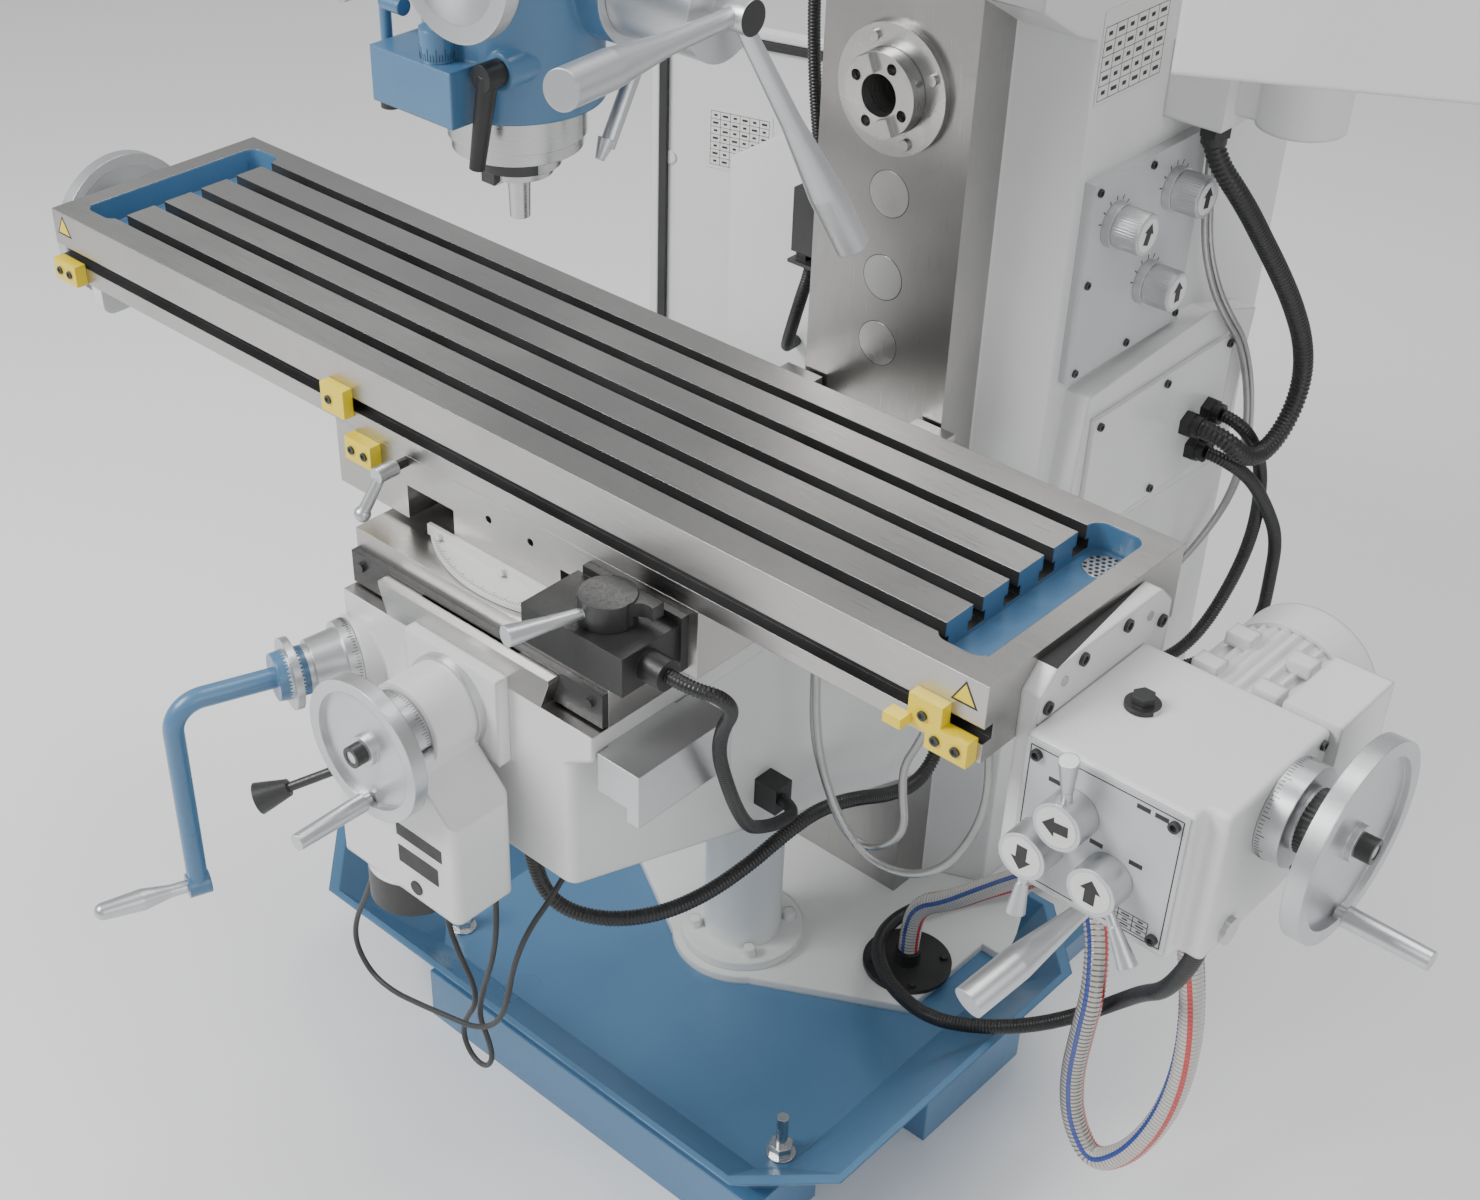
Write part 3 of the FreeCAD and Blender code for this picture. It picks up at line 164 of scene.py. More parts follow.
# --- Anchor bolts ------------------------------------------------------------------------------
# Studs with nuts and washers, turned from bright bar. A lathe leaves fine rings round its axis
# and an even tone.
def turned_metal(name, across, light, dark, rough=0.22):
    """Metal turned on a lathe: fine rings that follow one axis, and an even tone."""
    stretch = [2.0, 2.0, 2.0]
    stretch["xyz".index(across)] = 160.0
    material, tree, shader = finish(name, light, rough, metal=1.0)
    rings = node(tree, "TexNoise", Scale=9.0, Detail=2.0)
    tree.links.new(placed(tree, stretch), rings.inputs["Vector"])
    mottle(tree, shader, placed(tree), (dark, light), scale=1.2, low=0.2, high=0.8, detail=1.0)
    bumped(tree, shader, rings.outputs["Fac"], strength=0.1, distance=0.0001, edge=0.0008)
    varied_roughness(tree, shader, rings.outputs["Fac"], rough - 0.04, rough + 0.08)
    return material


turned_steel = turned_metal("turned_steel", "z", (0.60, 0.60, 0.60), (0.53, 0.53, 0.53))
wear("anchor_bolts", material=turned_steel)


# --- Coolant inlet plate and limit switch -----------------------------------------------------
# The plate is moulded in glass-filled nylon, and the switch's case is chemically blacked: both
# are nearly black, with a fine texture that scatters the light.
def black(name, tone, rough, grain, strength=0.3):
    """Near-black moulded plastic or blacked steel with a fine pebble."""
    material, tree, shader = finish(name, (tone,) * 3, rough)
    where = placed(tree)
    mottle(tree, shader, where, ((tone * 0.6,) * 3, (tone * 1.5,) * 3), scale=9.0)
    pebble = node(tree, "TexNoise", Scale=grain, Detail=3.0)
    tree.links.new(where, pebble.inputs["Vector"])
    bumped(tree, shader, pebble.outputs["Fac"], strength, distance=0.0003, edge=0.0012)
    varied_roughness(tree, shader, pebble.outputs["Fac"], rough - 0.08, rough + 0.1)
    return material


nylon = black("black_nylon", tone=0.018, rough=0.42, grain=700.0)
# This black steel is also painted shade inside the table's T-slots and its front groove.
blacked_and_shade = black("blacked_steel_and_shade", tone=0.03, rough=0.36, grain=300.0, strength=0.2)
wear("coolant_plate", material=nylon)
wear("limit_switch", material=blacked_and_shade)


# --- Column -----------------------------------------------------------------------------------
# A white casting whose front way is ground bare. A surface grinder leaves very fine parallel
# lines along its stroke, with slow tone bands where the wheel stepped over.
def ground(name, along, light, dark, rough=0.32, edge=0.0012):
    """Ground metal: fine lines along one axis and slow tone bands."""
    stretch = [90.0, 90.0, 90.0]
    stretch["xyz".index(along)] = 1.5
    material, tree, shader = finish(name, light, rough, metal=1.0)
    where = placed(tree, stretch)
    slow = placed(tree, (2.5, 2.5, 2.5))
    mottle(tree, shader, slow, (dark, light), scale=1.6, low=0.25, high=0.75)
    lines = node(tree, "TexNoise", Scale=14.0, Detail=6.0, Roughness=0.7)
    tree.links.new(where, lines.inputs["Vector"])
    bumped(tree, shader, lines.outputs["Fac"], strength=0.22, distance=0.0002, edge=edge)
    varied_roughness(tree, shader, lines.outputs["Fac"], rough - 0.08, rough + 0.12)
    shader.inputs["Anisotropic"].default_value = 0.5
    return material


def second(name, material, choose):
    """Put a second material on the faces of a CAD node that choose(x, y, z, normal) picks
    from their centres and normals, which are arrays."""
    mesh = nodes[name].data
    mesh.materials.append(material)
    slot_number = len(mesh.materials) - 1
    count = len(mesh.polygons)
    centres = np.empty(count * 3, np.float32)
    normals = np.empty(count * 3, np.float32)
    slots = np.empty(count, np.int32)
    mesh.polygons.foreach_get("center", centres)
    mesh.polygons.foreach_get("normal", normals)
    mesh.polygons.foreach_get("material_index", slots)
    picked = choose(*centres.reshape(-1, 3).T, normals.reshape(-1, 3).T)
    slots[picked] = slot_number
    mesh.polygons.foreach_set("material_index", slots)


def between(values, low, high):
    """Whether values lie between two limits."""
    return (values > low) & (values < high)


way_steel = ground("ground_way", "z", (0.44, 0.43, 0.42), (0.30, 0.295, 0.29))
way_half_width, way_front, way_back, way_top = 0.0975, -0.006, 0.06, 1.32
rear_facing = 0.6
wear("column", material=white)
second("column", way_steel, lambda x, y, z, normal: (np.abs(x) < way_half_width)
       & between(y, way_front, way_back) & (normal[1] < rear_facing) & (z < way_top))


# --- Horizontal spindle and the way's core plugs -----------------------------------------------
# The nose and its flange are faced on a lathe. Below it three round plugs close the casting's
# core holes, turned flush with the way, each with a hairline gap round it.
def turned(foot, axis, outline, around=40, ribs=0, rib=0.0):
    """Rings about an axis: each stands at an outline point's height above the foot, at its
    radius plus a cosine of the angle for ribs. The first and last are points on the axis."""
    line = Vector(axis).normalized()
    side = line.orthogonal().normalized()
    up = np.array(line.cross(side))
    angle = np.linspace(0, 2 * math.pi, around, endpoint=False)
    rim = np.cos(angle)[:, None] * np.array(side) + np.sin(angle)[:, None] * up
    swell = 1 + 0 * angle if not ribs else 1 + rib * np.cos(ribs * angle)
    foot, line = np.array(foot) / 1000, np.array(line)
    rings = [foot + line * high / 1000 + rim * (swell * radius / 1000)[:, None]
             for radius, high in outline[1:-1]]
    points = np.concatenate([[foot + line * outline[0][1] / 1000], *rings,
                             [foot + line * outline[-1][1] / 1000]])
    j = np.arange(around)
    following = (j + 1) % around
    faces = np.stack([0 * j, following + 1, j + 1], 1).tolist()
    for k in range(len(rings) - 1):
        low, high = 1 + k * around, 1 + (k + 1) * around
        faces += np.stack([low + j, low + following, high + following, high + j], 1).tolist()
    last = 1 + (len(rings) - 1) * around
    faces += np.stack([0 * j + len(points) - 1, last + j, last + following], 1).tolist()
    return points, faces


def disc(at, axis, radius, thick, around=48):
    """A flat round plate: an axis's rings at its underside, just inside what it lies on, and
    at its top."""
    return turned(at, axis, [(0, -0.3), (radius, -0.3), (radius, thick), (0, thick)], around)


def laid(name, body, material, *shapes):
    """One object from several shapes, smooth but for its real edges, that rides on a body."""
    points, faces, reached = [], [], 0
    for shape_points, shape_faces in shapes:
        points.append(shape_points)
        faces += [[n + reached for n in face] for face in shape_faces]
        reached += len(shape_points)
    mesh = bpy.data.meshes.new(name)
    mesh.from_pydata(np.concatenate(points).tolist(), [], faces)
    mesh.shade_smooth()
    mesh.set_sharp_from_angle(angle=math.radians(32))
    mesh.materials.append(material)
    piece = bpy.data.objects.new(name, mesh)
    bpy.context.scene.collection.objects.link(piece)
    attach(piece, body)


X, Y, Z = (1, 0, 0), (0, 1, 0), (0, 0, 1)
LEFT, FRONT = (-1, 0, 0), (0, -1, 0)
faced_steel = turned_metal("faced_steel", "y", (0.52, 0.515, 0.51), (0.46, 0.455, 0.45), 0.28)
wear("spindle_flange", "horizontal_spindle", material=faced_steel)
plug_heights = (980, 884, 805)
plug_radius, plug_gap = 25.4, 0.8
for number, high in enumerate(plug_heights):
    laid(f"core_plug_{number}", "base", faced_steel,
         disc((2, 0, high), FRONT, plug_radius, 0.25, around=64))
laid("core_plug_gaps", "base", blacked_and_shade,
     *(disc((2, 0.1, high), FRONT, plug_radius + plug_gap, 0.2, around=64)
       for high in plug_heights))


# --- Speed selectors --------------------------------------------------------------------------
# A screwed plate on the column's side carries three knurled aluminium knobs. Each has a white
# face with a black arrow, and a ring of printed lines round it.
def satin(name, light, dark, rough=0.34, metal=0.85):
    """Satin metal, bead-blasted and lacquered: a fine even grain without direction."""
    material, tree, shader = finish(name, light, rough, metal)
    where = placed(tree)
    mottle(tree, shader, where, (dark, light), scale=7.0)
    grain = node(tree, "TexNoise", Scale=900.0, Detail=3.0)
    tree.links.new(where, grain.inputs["Vector"])
    bumped(tree, shader, grain.outputs["Fac"], strength=0.25, distance=0.0002, edge=0.0015)
    varied_roughness(tree, shader, grain.outputs["Fac"], rough - 0.05, rough + 0.08)
    return material


def lowest(name, axis):
    """Where a CAD node begins along an axis, in millimetres."""
    return round(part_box(name)[0]["xyz".index(axis)] * 1000, 3)


def highest(name, axis):
    """Where a CAD node ends along an axis, in millimetres."""
    return round(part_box(name)[1]["xyz".index(axis)] * 1000, 3)


def extruded(outline, centre, across, up, thick):
    """An outline in the plane of across and up, and its copy one thickness along their
    cross product, joined by a band round the edge."""
    across, up = np.array(across, float), np.array(up, float)
    across /= np.linalg.norm(across)
    up /= np.linalg.norm(up)
    flat = np.array(outline, float)
    base = (np.array(centre) + flat[:, :1] * across + flat[:, 1:] * up) / 1000
    count = len(flat)
    points = np.concatenate([base, base + np.cross(across, up) * thick / 1000])
    j = np.arange(count)
    following = (j + 1) % count
    faces = np.stack([j, following, following + count, j + count], 1).tolist()
    return points, faces + [list(range(count))[::-1], list(range(count, 2 * count))]


def oblong(half_across, half_up, corner=0.0):
    """A rectangle's outline, its corners four quarter circles when they are rounded."""
    if not corner:
        return [(-half_across, -half_up), (half_across, -half_up), (half_across, half_up),
                (-half_across, half_up)]
    return [(sx * (half_across - corner) + corner * math.cos(a),
             sy * (half_up - corner) + corner * math.sin(a))
            for sx, sy, first in ((1, -1, -90), (1, 1, 0), (-1, 1, 90), (-1, -1, 180))
            for a in (math.radians(first + 15 * step) for step in range(7))]


def screw(at, axis, radius=5.0, high=4.0):
    """A socket head: a short cylinder with a blind recess."""
    return turned(at, axis, [(0, -0.3), (radius, -0.3), (radius, high), (radius * 0.6, high),
                             (radius * 0.55, high * 0.3), (0, high * 0.3)], around=20)


aluminium = satin("satin_aluminium", (0.63, 0.64, 0.65), (0.54, 0.55, 0.56))
grey_plate = satin("grey_plate", (0.55, 0.56, 0.57), (0.50, 0.51, 0.52), rough=0.42, metal=0.15)
white_plate = satin("scale_plate", (0.74, 0.74, 0.72), (0.68, 0.68, 0.66), rough=0.4, metal=0.1)
# This black is print, and also painted shade for the strainer's holes.
ink_and_shade, tree, shader = finish("printing_ink_and_shade", (0.02, 0.02, 0.02), 0.5)
mottle(tree, shader, placed(tree), ((0.012,) * 3, (0.03,) * 3), scale=60.0)
ARROW = [(-5, -11), (5, -11), (5, 2), (9.5, 2), (0, 13), (-9.5, 2), (-5, 2)]
face_radius, face_thick, mark_ring = 18.5, 0.5, 29
plate_face = highest("selector_plate", "x")
knob_face = highest("speed_knob_1", "x")
wear("selector_plate", material=grey_plate)
wear("speed_knob_1", "speed_knob_2", "speed_knob_3", material=aluminium)
for number, (y, z, lean) in enumerate(((155, 953, -20), (271, 957, -8), (240, 857, 0)), 1):
    body = f"speed_knob_{number}"
    laid(f"knob_grip_{number}", body, aluminium, turned((194, y, z), X, [
        (0, 0), (22.6, 0), (22.9, 2), (22.9, 26), (22.2, 30), (0, 30)], 288, ribs=48, rib=0.012))
    laid(f"knob_face_{number}", body, white_plate,
         disc((knob_face, y, z), X, face_radius, face_thick))
    a = math.radians(lean)
    laid(f"knob_arrow_{number}", body, ink_and_shade, extruded(
        ARROW, (knob_face + 0.4, y, z), (0, math.cos(a), math.sin(a)),
        (0, -math.sin(a), math.cos(a)), 0.3))
    laid(f"knob_marks_{number}", "base", ink_and_shade, *(extruded(
        oblong(0.7, 2.6), (plate_face, y + mark_ring * math.sin(t), z + mark_ring * math.cos(t)),
        (0, math.cos(t), -math.sin(t)), (0, math.sin(t), math.cos(t)), 0.2)
        for t in (math.radians(d) for d in range(-75, 76, 25))))
laid("selector_screws", "base", blacked_and_shade, *(screw((plate_face, y, z), X, 4.5, 3) for y, z in (
    (118, 999), (219, 999), (321, 999), (118, 894), (118, 789), (219, 789), (321, 789))))


# --- Side cover and speed chart ---------------------------------------------------------------
# A cast cover below the selectors, held by six screws, with black cord glands. Above them a
# thin enamelled plate is ruled as a chart, with short bars in place of print.
def chart(name, body, centre, across, up, half, rows, columns):
    """Ruled lines and short bars over a plate: evenly spaced lines both ways, and in every
    cell a bar whose length alternates like a chequer."""
    middle, a, u = Vector(centre), Vector(across), Vector(up)
    wide, high = half
    line, thick = 0.35, 0.15
    lines = [extruded(oblong(wide, line), middle + u * (high * (2 * k / rows - 1)), a, u, thick)
             for k in range(rows + 1)]
    lines += [extruded(oblong(line, high), middle + a * (wide * (2 * k / columns - 1)), a, u,
                       thick) for k in range(columns + 1)]
    for row in range(rows):
        for column in range(columns):
            at = (middle + a * (wide * ((2 * column + 1) / columns - 1))
                  + u * (high * ((2 * row + 1) / rows - 1)))
            lines.append(extruded(oblong(wide / columns * (0.35 + 0.2 * ((row + column) % 2)),
                                         high / rows * 0.28), at, a, u, thick))
    laid(name, body, ink_and_shade, *lines)


cover_face = 206
gland_start = 0.2065
wear("side_cover", material=white)
second("side_cover", nylon, lambda x, y, z, normal: x > gland_start)
laid("cover_screws", "base", blacked_and_shade, *(screw((cover_face, y, z), X, 5, 4)
     for z in (718, 577) for y in (150, 288, 426)))
column_side = lowest("selector_plate", "x")
laid("speed_chart_plate", "base", white_plate,
     extruded(oblong(62, 49, corner=3), (column_side, 164, 1141), Y, Z, 1.0))
chart("speed_chart", "base", (column_side + 1, 164, 1134), Y, Z, (58, 38), rows=5, columns=6)


# --- Electric cabinet -------------------------------------------------------------------------
# A folded sheet-steel case on the column's left. Its door stands open and shows the rubber
# seal along its edges and a ruled wiring sheet.
door_turn = math.radians(-75)
door_out = Vector((math.cos(door_turn), math.sin(door_turn), 0))
door_along = Vector((-math.sin(door_turn), math.cos(door_turn), 0))
door_hinge = Vector((-339, 549, 0))
door_inside = 2


def on_door(inward, along, high):
    """A point of the open door from its distances to the hinge."""
    return door_hinge + door_out * inward + door_along * along + Vector((0, 0, high))


wear("electric_cabinet", "cabinet_door", material=white)
laid("door_seal", "cabinet_door", nylon, *(extruded(
    oblong(wide, tall), on_door(door_inside, along, high), door_along, Z, 7.5)
    for along, high, wide, tall in ((-405, 609.5, 6, 267), (-27, 609.5, 6, 267),
                                    (-216, 349, 195, 6), (-216, 870, 195, 6))))
laid("wiring_sheet", "cabinet_door", white_plate, extruded(
    oblong(52, 46), on_door(door_inside, -285, 720), door_along, Z, 0.4))
chart("wiring_lines", "cabinet_door", on_door(door_inside + 0.4, -285, 720), door_along, Z,
      (46, 40), rows=7, columns=6)


# --- Pendant arm, ram and head ----------------------------------------------------------------
# White castings carry the blue head. Its machined bosses are left bright, and its trip lever
# ends in a black grip. The quill and spindle are turned steel, with a black drive key in the
# spindle's nose, and the quill levers are satin castings whose hub has a black cap.
arm_gland_top = 1.0419
wear("arm_bracket", "pendant_arm", "ram", "head_motor", material=white)
second("arm_bracket", nylon, lambda x, y, z, normal: z < arm_gland_top)

right_boss, right_boss_low = 0.0995, 1.29
front_boss, front_boss_low = -0.6285, 1.37
trip_left, trip_front, trip_top = -0.066, -0.58, 1.26
wear("head_casting", material=blue)
second("head_casting", aluminium, lambda x, y, z, normal:
       (x > right_boss) & (z > right_boss_low) | (y < front_boss) & (z > front_boss_low))
second("head_casting", nylon, lambda x, y, z, normal:
       (x < trip_left) & (y < trip_front) & (z < trip_top))

spindle_y, key_inner, key_back, key_low, key_high = -0.529, 0.0315, -0.54, 1.1665, 1.1905
lever_y, lever_z, cap_start, cap_radius = -0.485, 1.341, 0.2165, 0.0145
wear("quill", "vertical_spindle", material=turned_steel)
second("vertical_spindle", blacked_and_shade, lambda x, y, z, normal: between(z, key_low, key_high)
       & (np.hypot(x, y - spindle_y) > key_inner) & (y < key_back))
wear("quill_levers", "fine_feed_wheel", "coolant_nozzle", material=aluminium)
second("quill_levers", nylon, lambda x, y, z, normal: (x > cap_start)
       & (np.hypot(y - lever_y, z - lever_z) < cap_radius))
wear("quill_clamp", material=nylon)


def marks(foot, axis, radius, low, high, count, width=0.5, every=0):
    """Short bars round a dial's side, from one height to another, every few of them longer:
    equal steps of angle, each bar standing along the axis at the dial's radius."""
    line = Vector(axis).normalized()
    side = line.orthogonal().normalized()
    up = line.cross(side)
    bars = []
    for k in range(count):
        a = 2 * math.pi * k / count
        outward = side * math.cos(a) + up * math.sin(a)
        long = high if every and k % every == 0 else low + (high - low) * 0.55
        middle = Vector(foot) + line * (low + long) / 2 + outward * (radius - 0.1)
        bars.append(extruded(oblong(width / 2, (long - low) / 2), middle, line.cross(outward),
                             line, 0.3))
    return bars


laid("depth_marks", "base", ink_and_shade,
     *marks((0, -613, 1288.3), Z, 14, 2, 12, count=36, width=0.5, every=3))


# --- Knee ---------------------------------------------------------------------------------------
# A white casting with its top slides ground. A bright scale cover with a black conduit clip is
# fixed on its right. On its left corner is the blue elevating crank, whose dial, collar and
# grip are bare aluminium.
table_steel = ground("ground_table", "x", (0.53, 0.52, 0.505), (0.40, 0.39, 0.38))
hair = 0.0005
slide_top = lowest("saddle", "z") / 1000
clip_top = 0.48
wear("knee", material=white)
second("knee", table_steel, lambda x, y, z, normal: z > slide_top - hair)
wear("scale_cover", material=aluminium)
second("scale_cover", nylon, lambda x, y, z, normal: z < clip_top)

crank_line = Vector((-0.3535, -0.9354, 0))
crank_foot = Vector((-0.169, -0.634, 0.623))
dial_end, collar_start, collar_end, grip_start = 0.0445, 0.0545, 0.0665, 0.1995
arm_top = 0.55


def along_crank(x, y):
    """Distance of points along the crank's axis from its dial."""
    return (x - crank_foot.x) * crank_line.x + (y - crank_foot.y) * crank_line.y


wear("elevating_crank", material=blue)
second("elevating_crank", aluminium, lambda x, y, z, normal: (along_crank(x, y) < dial_end)
       | between(along_crank(x, y), collar_start, collar_end) & (z > arm_top)
       | (along_crank(x, y) > grip_start))
laid("crank_marks", "elevating_crank", ink_and_shade,
     *marks(crank_foot * 1000, crank_line, 42, -3.5, 3.5, count=80, width=0.5, every=5))


# --- Power feed and cross handwheel --------------------------------------------------------------
# The feed's white housing is bolted to the knee's front over its black motor. A bright ring
# frames the dial, and two blank dark plates and a dark plug are fixed below it.
def handwheel_hub(tag, body, foot, axis, radius, stand):
    """A handwheel's dial marks, the black knurled ring round its hub, which stands out
    along the axis, and its hub nut."""
    line = Vector(axis)
    ring_start, ring, ring_long, nut_start = 24, radius * 0.6 + 1.3, stand - 34, stand + 6
    laid(tag + "_marks", body, ink_and_shade,
         *marks(foot, axis, radius, 1.5, 8.5, count=80, width=0.5, every=5))
    laid(tag + "_knurl", body, blacked_and_shade, turned(Vector(foot) + line * ring_start, axis, [
        (0, 0), (ring, 0), (ring, ring_long), (0, ring_long)], 240, ribs=40, rib=0.02))
    laid(tag + "_nut", body, blacked_and_shade,
         screw(Vector(foot) + line * nut_start, axis, radius=11, high=15))


cross_z = 0.664
ring_back, ring_front, ring_inner, ring_outer = -0.6405, -0.651, 0.0457, 0.0505
motor_top = 0.4729
wear("feed_housing", material=white)
second("feed_housing", aluminium, lambda x, y, z, normal: between(y, ring_front, ring_back)
       & between(np.hypot(x, z - cross_z), ring_inner, ring_outer))
second("feed_housing", nylon, lambda x, y, z, normal: z < motor_top)
laid("feed_plates", "knee_body", ink_and_shade,
     extruded(oblong(29, 11, corner=1.5), (31, -722, 521), X, Z, 0.3),
     extruded(oblong(33, 8, corner=1), (34, -722, 552), X, Z, 0.3),
     disc((26, -722, 488), FRONT, 8, 1.5, around=32))
wear("feed_lever", material=blacked_and_shade)
wear("cross_handwheel", material=aluminium)
handwheel_hub("cross_handwheel_right", "cross_handwheel",
              (0, highest("cross_handwheel", "y"), cross_z * 1000), FRONT, 40, 44)


# --- Saddle and swivel --------------------------------------------------------------------------
# Ground castings with a black wiper bar. The white sector in front of the swivel has a line for
# each degree, longer every five, and the switch box beside it carries the yellow left stop.
scale_middle, scale_top = -422, 771
long_half, long_reach, short_half, short_reach = 3.2, 173.6, 1.8, 175.0
wear("saddle", "swivel_body", material=table_steel)
wear("wiper_bar", material=blacked_and_shade)
wear("swivel_scale", material=white_plate)
lines = []
for degree in range(-37, 38):
    t = math.radians(degree)
    half, reach = (long_half, long_reach) if degree % 5 == 0 else (short_half, short_reach)
    lines.append(extruded(
        oblong(0.25, half), (reach * math.sin(t), scale_middle - reach * math.cos(t), scale_top),
        (math.cos(t), math.sin(t), 0), (-math.sin(t), math.cos(t), 0), 0.15))
laid("swivel_degrees", "swivel", ink_and_shade, *lines)

yellow = paint("yellow_paint", (0.86, 0.66, 0.01), (0.80, 0.58, 0.01), rough=0.28, edge=0.0012)
stop_right, clamp_hub_front, switch_arm_back = -0.17, -0.578, -0.6315
wear("switch_box", material=nylon)
second("switch_box", yellow, lambda x, y, z, normal: x < stop_right)
laid("stop_screws", "swivel", blacked_and_shade, *(screw((x, -576, 829), FRONT, 4.5, 2)
     for x in (-206, -187)))
wear("clamp_lever", material=aluminium)
second("clamp_lever", nylon, lambda x, y, z, normal: y > clamp_hub_front)
wear("switch_lever", material=blacked_and_shade)
second("switch_lever", aluminium, lambda x, y, z, normal: y < switch_arm_back)


# --- Table --------------------------------------------------------------------------------------
# A ground casting with five T-slots, their walls black as painted shade, and a pocket at each end
# painted blue. A groove along its front, black inside as painted shade, holds the yellow dogs and
# end stops by socket screws, and a strainer covers the drain, its rows of round holes drawn as
# black discs of painted shade.
table_low, table_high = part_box("table")
slot_floor = table_high.z - 0.025
pocket_end = 0.076 + hair
rim_front, rim_back, rim_end = 0.026, 0.018, 0.0245
groove_depth, groove_low, groove_high = 0.0125, 0.86, 0.88


def inside_table(x, y, z):
    """Whether face centres lie within the table's rim, below its top."""
    return (between(z, slot_floor - 0.006, table_high.z - 0.001)
            & between(y, table_low.y + rim_front, table_high.y - rim_back)
            & between(x, table_low.x + rim_end, table_high.x - rim_end))


def end_distance(x):
    """Distance from the nearer end of the table."""
    return np.minimum(x - table_low.x, table_high.x - x)


wear("table", material=table_steel)
second("table", blue, lambda x, y, z, normal: inside_table(x, y, z)
       & ((end_distance(x) < pocket_end) | (z < slot_floor - hair)))
# Black steel on the slot walls and inside the front groove: painted shade in these recesses.
second("table", blacked_and_shade, lambda x, y, z, normal: inside_table(x, y, z)
       & (end_distance(x) > pocket_end) & (z > slot_floor - hair)
       | between(y, table_low.y + hair, table_low.y + groove_depth)
       & between(z, groove_low, groove_high))
wear("trip_dogs", material=yellow)
laid("dog_screws", "table_body", blacked_and_shade, *(screw((x, y, z), FRONT, 4.5, 2) for x, y, z in (
    (-238, -574.1, 873), (495, -574.1, 873), (-704, -576.1, 857), (-686, -576.1, 857),
    (510, -576.1, 857), (530, -576.1, 857))))

drain_x, drain_y, drain_z = 494, -322, 891
across_step, row_step = 6, 5.2
laid("strainer", "table_body", aluminium, disc((drain_x, drain_y, drain_z), Z, 18, 1.0))
# Black discs for the strainer's holes: painted shade where the dark drain shows through.
laid("strainer_hole_shade", "table_body", ink_and_shade, *(
    disc((drain_x + across_step * (a + b / 2), drain_y + row_step * b, drain_z + 1), Z, 1.9, 0.1,
         around=12)
    for a in range(-3, 4) for b in range(-3, 4)
    if math.hypot(across_step * (a + b / 2), row_step * b) < 16))


# --- Table gearbox ------------------------------------------------------------------------------
# A white casting on the table's right end: an end plate with screws and dowels, a black filler
# plug on top, and a bright bearing seat. Its grey panel has a screw at each corner, a printed
# border and chart, and three small selectors with faces like the column's.
plug_bottom, plug_right, plug_y, plug_half = 0.8687, 0.625, -0.438, 0.016
seat_start = 0.7356
end_plate_face, side_face = 563.1, 735.6
wear("gearbox", material=white)
second("gearbox", nylon, lambda x, y, z, normal: (z > plug_bottom) & (x < plug_right)
       & (np.abs(y - plug_y) < plug_half))
second("gearbox", turned_steel, lambda x, y, z, normal: x > seat_start)
laid("end_plate_screws", "table_body", blacked_and_shade, *(
    screw((end_plate_face, y, z), X, 6, 3) for y, z in (
        (-503, 878), (-503, 838), (-458, 902), (-394, 902), (-337, 878), (-337, 838))))
laid("end_plate_dowels", "table_body", turned_steel, *(
    disc((end_plate_face, y, 893), X, 4.5, 1.2, around=24) for y in (-482, -358)))
laid("gearbox_side_screws", "table_body", blacked_and_shade, *(
    screw((side_face, -372, z), X, 4.5, 3) for z in (860, 734)))

panel_y = lowest("gearbox_panel", "y")
rule, rule_thick = 0.5, 0.15
wear("gearbox_panel", material=grey_plate)
chart("feed_chart", "table_body", (662, panel_y, 742), X, Z, (34, 8), rows=3, columns=5)
laid("panel_border", "table_body", ink_and_shade, *(
    extruded(oblong(wide, tall), (x, panel_y, z), X, Z, rule_thick) for x, z, wide, tall in (
        (639.5, 862, 69, rule), (639.5, 731, 69, rule), (570.5, 796.5, rule, 65.5),
        (708.5, 796.5, rule, 65.5))), *(
    extruded(oblong(6, 2.2), (x, panel_y, z), X, Z, rule_thick) for x, z in (
        (596, 838), (640, 800), (676, 800), (690, 856), (674, 856))))
laid("panel_screws", "table_body", blacked_and_shade, *(screw((x, panel_y, z), FRONT, 5, 4)
     for x in (577, 702) for z in (738, 855)))
selector_face = -557.3
wear("feed_selector_1", "feed_selector_2", "feed_selector_3", "feed_engage_lever",
     material=aluminium)
for number, (x, z, lean) in enumerate(((617.6, 819.2, 95), (590.9, 772.5, 180),
                                       (655.7, 774.8, 0)), 1):
    body = f"feed_selector_{number}"
    a = math.radians(lean)
    laid(f"selector_face_{number}", body, white_plate,
         disc((x, selector_face, z), FRONT, face_radius, face_thick))
    laid(f"selector_arrow_{number}", body, ink_and_shade, extruded(
        ARROW, (x, selector_face - 0.4, z), (math.cos(a), 0, math.sin(a)),
        (-math.sin(a), 0, math.cos(a)), 0.3))

# Feed motor: a white die-cast case with cooling fins round it.
wear("table_motor", material=white)
laid("motor_fins", "table_body", white, turned((640, -357, 790), Y, [
    (0, 0), (63.5, 0), (63.5, 113), (0, 113)], 288, ribs=36, rib=0.045))


# --- Table screw and its handwheels ---------------------------------------------------------------
# The turned lead screw runs in the gearbox and in a white bracket at the left end, and carries
# a cast aluminium handwheel with a dial at each end.
screw_y, screw_z = -422, 828
wear("end_bracket", material=white)
wear("lead_screw", material=turned_steel)
wear("handwheel_right", "handwheel_left", material=aluminium)
handwheel_hub("table_screw_right", "table_screw",
              (lowest("handwheel_right", "x"), screw_y, screw_z), X, 44, 58)
handwheel_hub("table_screw_left", "table_screw",
              (highest("handwheel_left", "x"), screw_y, screw_z), LEFT, 40, 62)


